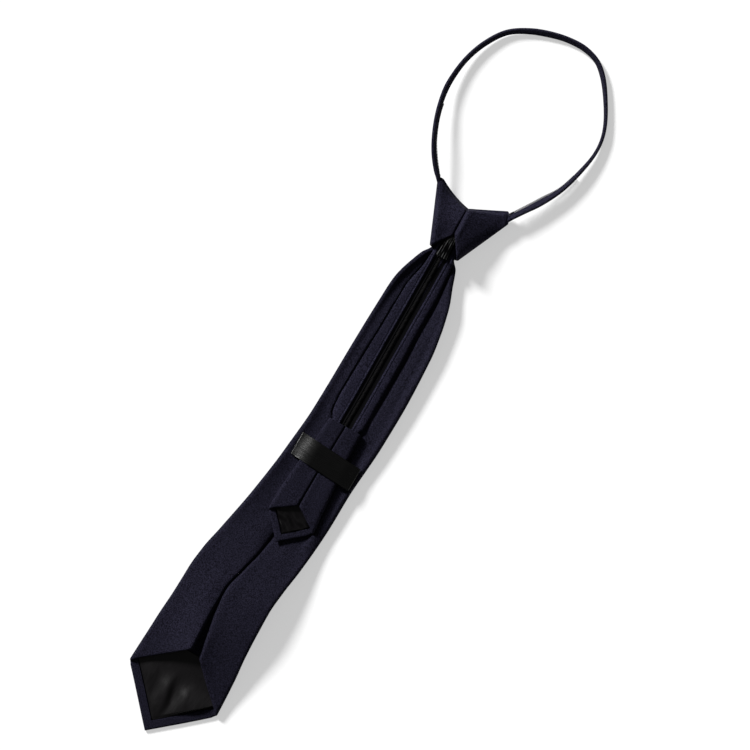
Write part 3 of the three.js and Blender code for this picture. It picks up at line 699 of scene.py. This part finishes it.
sleeve_shape = {
    "half": lambda y: sleeve_at("half", y), "roll": lambda y: TAIL_ROLL + 0 * y, "seam": sleeve_seam,
    "lift": lambda side, y: TAIL_FLAP_LIFT * tail_open(y) + 0 * side, "relief": sleeve_relief,
    "world": sleeve_world, "tip_y": SLEEVE_TIP, "top_y": SLEEVE_TOP, "tip": (TAIL_TIP, TAIL_TIP),
    "hem": TAIL_HEM, "slope": TAIL_FLAP_SLOPE, "opening": TAIL_SEAM_OPENING,
}
sleeve_rows = np.linspace(1, 0, 90)
sleeve_columns = envelope_columns(flaps=14, turns=8, fronts=24)
sleeve = envelope("tail_sleeve_cloth", sleeve_shape, sleeve_columns, sleeve_rows, shaded_blade_twill)
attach(sleeve, "root")
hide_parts("tail_sleeve")

# Tipping: the charcoal satin that lines the open tips of the blade and of the tail. It is sewn in flat
# inside the hem and lies in soft creases.
TIPPING_THICK = 0.8
TIPPING_REACH = 30
TIPPING_GAP = 0.8
FLOAT_PITCH = 0.0005
SLUB_SCALE = 900


def satin(name, dark, light, roughness, specular):
    """Warp-faced satin: fine lengthwise floats 0.5 mm apart, long faint slubs and cloudy shade."""
    finish = Finish(name, specular)
    across, _, place = finish.cloth_place()
    float_line = across.ripple(FLOAT_PITCH)
    slub = finish.noise(place, SLUB_SCALE, 2, (1, 0.12, 1))
    cloud = finish.noise(place, CLOUD_SCALE, 3)
    shade = (slub * 0.9 - 0.2 + cloud * 0.5).within()
    finish.drive("Base Color", finish.blend(shade, dark, light))
    finish.drive("Roughness", roughness - 0.08 + slub * 0.16)
    finish.relief(float_line * 0.3 + slub, 0.00008, 0.6)
    return finish.material


def tipping(name, shape, reach, creases, material):
    """A lining panel inside an envelope, from the hem's inner edge to past the flaps: the envelope's own
    section at a small height, with the height of the creases added."""
    bottom = shape["tip_y"] + math.sqrt(2) * (shape["hem"] + TIPPING_GAP)
    corner_y = shape["tip_y"] + max(shape["tip"])
    f = np.linspace(-1, 1, 90)[:, None]
    corner_share = 1 - (shape["roll"](corner_y) + CLEARANCE) / shape["half"](corner_y)
    rise = np.where(f < 0, *shape["tip"]) * np.abs(f) * corner_share
    v = np.linspace(0, 1, 90)[None, :]
    y = mix(bottom + rise, corner_y + reach, v)
    across = f * (shape["half"](y) - shape["roll"](y) - 2 * CLEARANCE)
    height = creases(across, y) * (1 - smooth(y, corner_y - 4, corner_y + 16)) * smooth(v, 0, 0.06)
    low = CLOTH + CLEARANCE
    uv = joined(across, y)
    under = shape["world"](across, low + height, y)
    over = shape["world"](across, low + TIPPING_THICK + height, y)
    return walled(name, under, over, uv, material)


def blade_creases(across, y):
    """A soft rise that falls off along one sharp valley near the middle and climbs again right of it, with
    shallow waves all over."""
    line = across - mix(-1.5, 2.5, smooth(-y, 404, 430))
    ridge = 2.5 * smooth(line, -15, -3) * (1 - smooth(line, -2.5, 2.5)) + 3.6 * smooth(line, 2, 15)
    wave = 0.35 * (1 + np.sin(0.30 * across + 0.12 * y)) * (0.6 + 0.4 * np.sin(0.17 * y - 0.08 * across))
    return 0.25 + ridge * bell(y, -416, 15) * 0.9 + wave


def tail_creases(across, y):
    """Crosswise creases of the narrow lining, closer and sharper than the blade's."""
    return 0.8 + 0.8 * np.sin(0.75 * y + 0.28 * across + 0.8 * np.sin(0.4 * across)) * bell(y, -246, 9)


charcoal_shades = ((0.0010, 0.0008, 0.0010), (0.0044, 0.0038, 0.0044))
charcoal = satin("charcoal_satin", *charcoal_shades, roughness=0.38, specular=0.2)
# A darker copy of the same charcoal satin lines the tail's tip: painted shade for the shadow of the tail's
# flaps over it.
shaded_copy_charcoal_shades = ((0.0004, 0.0003, 0.0004), (0.0024, 0.0020, 0.0024))
shaded_copy_charcoal = satin("charcoal_satin_shaded", *shaded_copy_charcoal_shades, roughness=0.32, specular=0.16)
blade_tipping = tipping("blade_tipping_satin", blade_shape, TIPPING_REACH, blade_creases, charcoal)
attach(blade_tipping, "root")
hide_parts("blade_tipping")

tail_tipping = tipping("tail_tipping_satin", sleeve_shape, TIPPING_REACH / 2, tail_creases, shaded_copy_charcoal)
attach(tail_tipping, "root")
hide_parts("tail_tipping")

# Two folded strips of the twill run beside the zipper from the knot into the sleeve. Each is folded over
# the zipper's tape and topstitched, so its inner edge stands up as a narrow rounded lip.
TAIL_IN_KNOT = 11
STRIP_THICK = 2.2
STRIP_UNDER_SLEEVE = 10
TAPE_WIDTH = 2.4
TAPE_THICK = 1.0
COIL_WIDTH = 4.2
COIL_HEIGHT = 2.1
STRIP_END = SLEEVE_TOP - STRIP_UNDER_SLEEVE
TAPE_EDGE = COIL_WIDTH / 2 + CLEARANCE
STRIP_EDGE = TAPE_EDGE + TAPE_WIDTH + CLEARANCE


def into_sleeve(y):
    """What runs inside the sleeve lies that much higher there."""
    return (CLOTH + CLEARANCE) * smooth(-y, TAIL_DROP - 14, TAIL_DROP - 2)


def tail_bar(name, edges, columns, rows, low, high, material):
    """A bar between two edges along the tail. Low is its underside's height over the tail's bed, and high
    gives its top's from the share across and y."""
    y = np.linspace(TAIL_IN_KNOT, STRIP_END, rows)[None, :]
    f = (0.5 - 0.5 * np.cos(np.linspace(0, math.pi, columns)))[:, None]
    x = mix(edges[0](y), edges[1](y), f)
    bed = tail_bed(x, y) + into_sleeve(y)
    return walled(name, joined(x, y, bed + low), joined(x, y, bed + high(f, y)), joined(x, y), material)


strip_twill = twill_cloth("navy_strip_twill", math.radians(-50))
for side, word in ((-1, "left"), (1, "right")):
    outer_edge = lambda y, word=word: run_at(word, y)
    inner_edge = lambda y, side=side: run_at("zip", y) + side * STRIP_EDGE
    edges = (outer_edge, inner_edge) if side < 0 else (inner_edge, outer_edge)

    def strip_top(f, y, side=side, edges=edges):
        """A flat bar with round edges, a lip 1.6 mm wide at the inner edge, a stitched groove beside it and
        slow waves along it."""
        wide = edges[1](y) - edges[0](y)
        inner = (1 - f if side < 0 else f) * wide
        outer = wide - inner
        round_off = (1 - np.exp(-outer / 0.9)) * (1 - np.exp(-(inner + 0.15) / 0.45))
        lip = (0.3 - 0.15 * side) * bell(inner, 0.9, 0.7) - 0.35 * bell(inner, 2.2, 0.45)
        wave = 0.12 * np.sin(0.13 * y + side) * np.sin(0.05 * y)
        return STRIP_THICK * (0.35 + 0.65 * round_off) + lip + wave

    strip = tail_bar(f"tail_strip_cloth_{word}", edges, 34, 150, 0, strip_top, strip_twill)
    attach(strip, "root")
    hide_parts(f"tail_strip_{word}")

# Zipper: black woven tape on both sides of a closed nylon coil. The coil lies with its teeth up; each
# tooth is one bend of the wire, and a sewing thread runs along each tape.
TAPE_RIB_PITCH = 0.0009
TAPE_ZIGZAG = 0.00698
COIL_PITCH = 1.25
COIL_WIRE = 0.42
WIRE_SIDES = 6
WIRE_STATIONS = 7


def tape_weave(name):
    """Black polyester tape: herringbone ribs 0.9 mm apart, dull."""
    finish = Finish(name, 0.08)
    across, along, place = finish.cloth_place()
    rib = along.ripple(TAPE_RIB_PITCH, across.ripple(TAPE_ZIGZAG) * 1.5)
    fuzz = finish.noise(place, 1400)
    shade = (rib * 0.3 + fuzz).within()
    finish.drive("Base Color", finish.blend(shade, (0.0008, 0.0008, 0.0011), (0.0036, 0.0035, 0.0045)))
    finish.drive("Roughness", 0.85)
    finish.relief(rib + fuzz, 0.00012)
    return finish.material


def coil_nylon(name):
    """Black nylon wire, half gloss, with lighter grey specks painted into the colour as the teeth's glints:
    a painted highlight. It is rougher where the specks are.
    """
    finish = Finish(name, 0.04)
    place = finish.cloth_place()[2]
    # Painted highlight: lighter random specks stand for glints on the coil's teeth.
    painted_speck_glint = (finish.noise(place, 650, 3) * 5 - 2.2).within()
    finish.drive("Base Color", finish.blend(painted_speck_glint, (0.0003, 0.0003, 0.0005), (0.0054, 0.0050, 0.0054)))
    finish.drive("Roughness", 0.45 + painted_speck_glint * 0.25)
    finish.relief(painted_speck_glint, 0.00005)
    return finish.material


black_tape = tape_weave("black_tape_weave")
black_nylon = coil_nylon("black_nylon_wire")
for side, word in ((-1, "left"), (1, "right")):
    near = lambda y, side=side: run_at("zip", y) + side * TAPE_EDGE
    far = lambda y, side=side: run_at("zip", y) + side * (TAPE_EDGE + TAPE_WIDTH)
    edges = (far, near) if side < 0 else (near, far)

    def tape_top(f, y, side=side):
        """A thin tape with a corded edge next to the coil and one sewing thread along it."""
        inner = (1 - f if side < 0 else f) * TAPE_WIDTH
        thread = 0.28 * bell(inner, 1.25, 0.22) * (0.6 + 0.4 * np.sin(2 * math.pi * y / 2.2))
        return CLEARANCE + TAPE_THICK * 0.55 + 0.35 * bell(inner, 0.3, 0.4) + thread

    tape = tail_bar(f"zipper_tape_weave_{word}", edges, 14, 520, CLEARANCE, tape_top, black_tape)
    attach(tape, "root")
    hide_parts(f"zipper_tape_{word}")


def wire_rings(path, radius):
    """Rings of a round wire along paths (bars, stations, 3), and their uv. Each ring lies square to the
    path's own direction, and its first point is turned square to straight up."""
    ahead = unit(np.gradient(path, axis=1))
    across = unit(np.cross(ahead, np.array([0.0, 0.0, 1.0]) + 0.001 * ahead[..., [1, 2, 0]]))
    over = np.cross(across, ahead)
    angle = np.linspace(0, 2 * math.pi, WIRE_SIDES, endpoint=False)
    spread = across[:, :, None] * np.cos(angle)[:, None] + over[:, :, None] * np.sin(angle)[:, None]
    rings = path[:, :, None] + radius * spread
    return rings, joined(angle * radius, path[..., 1:2] + distance(path, 1)[..., None])


teeth = int((TAIL_IN_KNOT - STRIP_END) / COIL_PITCH) - 1
tooth = np.arange(2 * teeth)[:, None]
hand = np.where(tooth % 2 == 0, -1, 1)
t = np.linspace(0, 1, WIRE_STATIONS)[None, :]
tooth_y = TAIL_IN_KNOT - 1 - (tooth + 0.5) * COIL_PITCH / 2 - 0.3 * t
tooth_off = hand * mix(COIL_WIDTH / 2 - COIL_WIRE, -0.75, t)
tooth_up = COIL_WIRE + (COIL_HEIGHT - 2 * COIL_WIRE) * np.sin(math.pi * mix(0.02, 0.78, t)) ** 0.7
tooth_x = run_at("zip", tooth_y) + tooth_off
tooth_z = tail_bed(run_at("zip", tooth_y), tooth_y) + into_sleeve(tooth_y) + CLEARANCE + tooth_up
tooth_rings, tooth_uv = wire_rings(joined(tooth_x, tooth_y, tooth_z), COIL_WIRE)
coil = ringed("zipper_coil_wire", tooth_rings, tooth_uv, black_nylon)
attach(coil, "root")
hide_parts("zipper_coil")

# Slider: the moulded black slider shows its ribbed back in the mouth of the knot, with long ridges. The
# glints on the ridges are painted highlight: pale streaks in the colour along the rib crests.
SLIDER_WIDTH = 10
SLIDER_LENGTH = 19
SLIDER_THICK = 2.6
SLIDER_OUT = 4
SLIDER_RIBS = 5
SLIDER_RIB_PITCH = SLIDER_WIDTH / SLIDER_RIBS / 1000
SLIDER_RIB_PHASE = 2.1


def slider_gloss(name):
    """Moulded black plastic, glossy, with fine mould grain, and pale streaks along the rib crests painted
    into the colour as the ribs' glints: a painted highlight.
    """
    finish = Finish(name, 0.2)
    across, _, place = finish.cloth_place()
    grain = finish.noise(place, 1800, 2)
    scuff = finish.noise(place, 260, 4)
    # Painted highlight: pale streaks on the rib crests stand in for glints of light on the ribs.
    crest = ((across.ripple(SLIDER_RIB_PITCH, SLIDER_RIB_PHASE) - 0.72) * 4).within()
    painted_glint_streak = crest * (finish.noise(place, 620, 1, (1, 0.16, 1)) * 7 - 3.2).within()
    finish.drive("Base Color", finish.blend(painted_glint_streak, (0.0003, 0.0003, 0.0004), (0.05, 0.05, 0.05)))
    finish.drive("Roughness", 0.1 + scuff * 0.16)
    finish.relief(grain, 0.00006)
    return finish.material


f = np.linspace(-1, 1, 141)[:, None]
v = np.linspace(0, 1, 60)[None, :]
y = mix(-SLIDER_OUT, SLIDER_LENGTH - SLIDER_OUT, v)
x = run_at("zip", y) + f * SLIDER_WIDTH * (1 - 0.3 * v * v) / 2
crown = (1 - 0.3 * f * f - 0.5 * f**8) * np.sin(math.pi * mix(0.12, 0.88, v)) ** 0.4
ribs = (0.5 + 0.5 * np.cos(2 * math.pi * SLIDER_RIBS * (f + 1) / 2 + math.pi)) ** 1.6
seat = tail_bed(run_at("zip", y), y) + COIL_HEIGHT + 2 * CLEARANCE
over = seat + SLIDER_THICK * crown + ribs * np.sin(math.pi * mix(0.06, 0.94, v)) ** 0.5
slider_uv = joined(f * SLIDER_WIDTH / 2, y)
slider_finish = slider_gloss("black_slider_gloss")
slider = walled("zipper_slider_moulding", joined(x, y, seat), joined(x, y, over), slider_uv, slider_finish)
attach(slider, "root")
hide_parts("zipper_slider")

# Knot: one pressed wrap of the twill, shaped like a tied knot with two wings. It is closed at the back by
# a lap, right over left, and open below it in an upside-down V, where the slider and the tail come out.
KNOT_BOTTOM_HALF = 13.1
KNOT_LEAN = 0.5
KNOT_TOP_HALF = 33.7
KNOT_NOTCH = 39.8
KNOT_WINGS = (12.9, 16.2)
KNOT_MOUTH = 17.5
KNOT_DEEP = 20.5
KNOT_SHALLOW = 7
KNOT_BLUNT = (3.4, 11)
KNOT_BLUNT_SHARE = 0.16
KNOT_SAG = 1.8
KNOT_WING_RISE = (9.8, 6)
KNOT_FALL_RIGHT = 0.27
KNOT_WALL = 1.6
KNOT_LAP_ROLL = (2.4, 1.15)
KNOT_PATTERN = (22, 45)


def knot_skin(round_, v, inset):
    """A flattened tube between the lower edge, v 0, and the winged upper edge, v 1. Round is the angle
    about the tube, 0 at the front. The share across is the angle's sine to the power 0.75, and the depth is
    the deepest one times the cube root of 1 - share to the power 7."""
    back = np.abs(round_) > math.pi / 2
    sine, cosine = np.sin(round_), np.cos(round_)
    share = np.sign(sine) * np.abs(sine) ** 0.75
    wide = np.abs(share)
    left = round_ < 0
    wing = np.where(left, *KNOT_WINGS)
    mouth = np.where(back, KNOT_MOUTH * (1 - wide), 0)
    clipped = np.maximum(0, wide - 1 + KNOT_BLUNT_SHARE) / KNOT_BLUNT_SHARE
    blunt = np.where(left, *KNOT_BLUNT) * clipped**2
    x = share * (mix(KNOT_BOTTOM_HALF, KNOT_TOP_HALF, v) - inset) + KNOT_LEAN * (1 - v)
    sag = np.where(left, 4 * KNOT_SAG * wide * (1 - wide), 0)
    y = mix(mouth, KNOT_NOTCH + wing * wide - blunt - sag, v)
    fall = np.where(left, 0, KNOT_FALL_RIGHT) * wide**1.3 * smooth(v, 0, 0.25) * (1 - v**3)
    full = mix(KNOT_DEEP, KNOT_SHALLOW, smooth(v * (0.45 + 0.55 * wide), 0.15, 1)) / 2 * (1 - fall)
    closing = np.sqrt(np.maximum(0, 1 - smooth(v, 0.88, 1) ** 2))
    deep = np.maximum(full * closing, KNOT_WALL + CLEARANCE)
    lap = np.where(left & back, (KNOT_WALL + PLY) * smooth(np.abs(round_), 2.1, 2.9), 0)
    front = np.where(left, *KNOT_WING_RISE) * wide**2 * v ** np.where(left, 1, 2) + 0.6 * (full - deep)
    full_side = (1 - wide**7) ** (1 / 3)
    z = front + deep - np.sign(cosine) * full_side * (deep - inset) - lap
    lap_depth, lap_wide = KNOT_LAP_ROLL
    fold = 0.4 * bell(x, 3.4, 2) - lap_depth * bell(x - KNOT_LEAN * (1 - v), 0, lap_wide)
    crease = 0.7 * np.sin(5.2 * v + 3.1 * round_) * v * (1 - v)
    return joined(x, y, z + np.where(back, fold + crease, 0))


near_lap = np.array([0.001, 0.008, 0.016, 0.026, 0.038, 0.052])
spread = np.concatenate([near_lap, np.sin(np.linspace(0.068, math.pi / 2, 46))])
quarter = np.arcsin(spread ** (4 / 3))
right_half = np.concatenate([[0], quarter, (math.pi - quarter)[-2::-1]])
angle = np.concatenate([-right_half[:0:-1], right_half])[:, None]
v = (1 - (1 - np.linspace(0, 1, 84)) ** 1.35)[None, :]
outer_skin, inner_skin = knot_skin(angle, v, 0), knot_skin(angle, v, KNOT_WALL)
knot_uv = joined(angle * KNOT_PATTERN[0], v * KNOT_PATTERN[1])
knot_twill = twill_cloth("navy_knot_twill", math.radians(62))
knot = walled("knot_wrap_cloth", outer_skin, inner_skin, knot_uv, knot_twill, crease=75)
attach(knot, "root")
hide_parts("knot_wrap")

# Keeper: a ribbon of black satin sewn to the blade's back at both ends. It is arched over the tail and
# holds it in place.
LABEL_DROP = 180.4
LABEL_WIDTH = 19.6
LABEL_THICK = 0.7
LABEL_LEFT = 25.2
LABEL_RIGHT = 29.4
LABEL_SLOPE = 0.058
LABEL_ARCH = (18, 13)
LABEL_SLACK = 0.5

f = np.linspace(0, 1, 90)[:, None]
v = np.linspace(0, 1, 30)[None, :]
x = mix(-LABEL_LEFT, LABEL_RIGHT, f)
y = -LABEL_DROP - LABEL_WIDTH * v - LABEL_SLOPE * (x + LABEL_LEFT)
over = tail_bed(x, y) + 2 * TAIL_ROLL + CLEARANCE + LABEL_SLACK
beside = blade_back(x, y) + blade_cushion(x, y) + 2 * CLEARANCE
arch_left = 1 - (1 - np.clip((x + LABEL_LEFT) / LABEL_ARCH[0], 0, 1)) ** 1.6
arch_right = 1 - (1 - np.clip((LABEL_RIGHT - x) / LABEL_ARCH[1], 0, 1)) ** 2
height = mix(np.minimum(over, beside), over, arch_left * arch_right)
pucker = 0.25 * smooth(x, 21, 28) * (1 + np.sin(9 * v + 1.5))
height = height + pucker + 0.25 * bell(v, 0.5, 0.45)
ribbon_shades = ((0.0001, 0.0001, 0.0001), (0.0003, 0.0003, 0.0003))
ribbon = satin("black_satin_ribbon", *ribbon_shades, roughness=0.28, specular=0.26)
label_under, label_over = joined(x, y, height), joined(x, y, height + LABEL_THICK)
label = walled("keeper_ribbon", label_under, label_over, joined(y, x), ribbon)
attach(label, "root")
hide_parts("keeper_label")

# Neck loop: a narrow folded band of the twill that runs from wing tip to wing tip. It stands on edge
# beside the knot, comes down to the table at its far end and leans over there.
BAND_WIDTH = 5.6
BAND_THICK = 2.6
LOOP_BULGE = 31.8
LOOP_REACH = 142.8
LOOP_HEIGHT = 13.4
LOOP_TUCK = 4
LOOP_TUCK_SHARE = 0.012
LOOP_STEP = 1e-4
LOOP_START = np.array([-33.6, 49.8])
LOOP_FINISH = np.array([33.1, 51.1])
LOOP = table(
    "round across along height tilt",
    [
        (0.000, 0.000, 0.000, 0.963, 1.20),
        (0.014, -0.148, 0.027, 1.000, 1.03),
        (0.048, -0.465, 0.096, 1.110, 0.95),
        (0.082, -0.741, 0.174, 1.160, 1.06),
        (0.133, -1.078, 0.300, 0.980, 1.03),
        (0.183, -1.312, 0.431, 0.700, 0.91),
        (0.218, -1.401, 0.521, 0.560, 0.97),
        (0.269, -1.432, 0.654, 0.418, 0.98),
        (0.319, -1.329, 0.781, 0.321, 0.90),
        (0.371, -1.091, 0.895, 0.261, 0.75),
        (0.421, -0.688, 0.967, 0.239, 0.60),
        (0.473, -0.216, 1.013, 0.228, 0.65),
        (0.506, 0.115, 1.030, 0.222, 0.72),
        (0.541, 0.455, 1.031, 0.229, 0.80),
        (0.575, 0.788, 1.005, 0.235, 0.89),
        (0.609, 1.041, 0.946, 0.240, 1.04),
        (0.660, 1.301, 0.836, 0.240, 1.26),
        (0.711, 1.493, 0.716, 0.246, 1.41),
        (0.744, 1.541, 0.631, 0.276, 1.47),
        (0.778, 1.492, 0.540, 0.336, 1.42),
        (0.829, 1.278, 0.405, 0.433, 1.20),
        (0.880, 0.996, 0.275, 0.493, 1.04),
        (0.930, 0.604, 0.155, 0.567, 0.56),
        (0.964, 0.313, 0.080, 0.627, 0.66),
        (1.000, 0.000, 0.000, 0.679, 0.72),
    ],
)
LOOP["station"] = np.linspace(0, 1, len(LOOP["tilt"]))
loop_base = mix(LOOP_START, LOOP_FINISH, LOOP["round"][:, None])
loop_step = joined(LOOP["across"] * LOOP_BULGE, LOOP["along"] * LOOP_REACH)
loop_points = np.concatenate([loop_base + loop_step, LOOP["height"][:, None] * LOOP_HEIGHT], 1)


def catmull(points, at):
    """A centripetal Catmull-Rom curve through points, read at shares of its count of stretches: Hermite
    cubics whose slopes come from the square roots of the distances between neighbours."""
    padded = np.concatenate([[2 * points[0] - points[1]], points, [2 * points[-1] - points[-2]]])
    s = np.clip(at, 0, 1) * (len(points) - 1)
    i = np.clip(s.astype(int), 0, len(points) - 2)
    w = (s - i)[:, None]
    p0, p1, p2, p3 = (padded[i + k] for k in range(4))
    root = lambda a, b: np.sqrt(np.linalg.norm(b - a, axis=1, keepdims=True))
    d0, d1, d2 = root(p0, p1), root(p1, p2), root(p2, p3)
    m1 = ((p1 - p0) / d0 - (p2 - p0) / (d0 + d1) + (p2 - p1) / d1) * d1
    m2 = ((p2 - p1) / d1 - (p3 - p1) / (d1 + d2) + (p3 - p2) / d2) * d1
    return hermite(w, p1, p2, m1, m2)


def band_frame(at):
    """The band's centre and its outward, upward and forward directions at shares of its route. The tilt
    turns the first two about the route."""
    centre = catmull(loop_points, at)
    ahead = unit(catmull(loop_points, at + LOOP_STEP) - catmull(loop_points, at - LOOP_STEP))
    tilt = column(LOOP, "station", "tilt", at)[:, None]
    level = unit(joined(-ahead[:, 1], ahead[:, 0], 0))
    out = level * np.cos(tilt) + np.cross(ahead, level) * np.sin(tilt)
    return centre, out, np.cross(ahead, out), ahead


at = np.linspace(0, 1, 420)
centre, out, up, ahead = band_frame(at)
tucked = np.clip(1 - np.stack([at, 1 - at]) / LOOP_TUCK_SHARE, 0, 1)[:, :, None]
centre = centre + LOOP_TUCK * (ahead * (tucked[1] - tucked[0]) - [0, 0, 0.35] * (tucked[0] + tucked[1]))
angle = np.linspace(0, 2 * math.pi, 28, endpoint=False)
cosine, sine = np.cos(angle), np.sin(angle)
flat_round = np.sign(cosine) * np.abs(cosine) ** 0.35 * BAND_WIDTH / 2
thick_round = np.sign(sine) * np.abs(sine) ** 0.75 * BAND_THICK / 2
squeeze = 1 + 0.07 * np.sin(46 * at) * np.sin(17 * at + 1) - 0.05
rings = centre[:, None] + out[:, None] * (flat_round[None] * squeeze[:, None])[..., None]
rings = rings + up[:, None] * thick_round[None, :, None]
run = distance(centre, 0)
stretches = [np.diff(side, append=side[0]) for side in (flat_round, thick_round)]
band_uv = joined(np.cumsum(np.hypot(*stretches)), run[:, None])
band_twill = twill_cloth("navy_band_twill", math.radians(35))
band = ringed("neck_loop_band", rings[None], band_uv[None], band_twill)
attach(band, "root")
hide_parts("neck_loop")

# Open halves of the zipper show on the band's inner edge beside the knot: each is a row of bent black
# nylon teeth, sewn into the fold of the band.
LOOP_COIL_LENGTH = 66
LOOP_COIL_WIDTH = 1.5
LOOP_COIL_WIRE = 0.378
share_long = LOOP_COIL_LENGTH / run[-1]
teeth_count = int(LOOP_COIL_LENGTH / COIL_PITCH)
t = np.linspace(0, 1, WIRE_STATIONS)
for word, begin in (("left", 0), ("right", 1)):
    share = (np.arange(teeth_count) + 0.5) / teeth_count * share_long
    centre, out, up, ahead = band_frame(np.interp(np.abs(begin - share), run / run[-1], at))
    reach = -(BAND_WIDTH / 2 + CLEARANCE) - LOOP_COIL_WIDTH * np.sin(math.pi * t) * 0.8
    stand = (t - 0.5) * LOOP_COIL_WIDTH
    path = centre[:, None] + out[:, None] * reach[None, :, None] + up[:, None] * stand[None, :, None]
    path = path + ahead[:, None] * ((t - 0.5) * COIL_PITCH * 0.5)[None, :, None]
    coil_rings, coil_uv = wire_rings(path, LOOP_COIL_WIRE)
    loop_coil = ringed(f"loop_coil_wire_{word}", coil_rings, coil_uv, black_nylon)
    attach(loop_coil, "root")
    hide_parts(f"loop_coil_{word}")
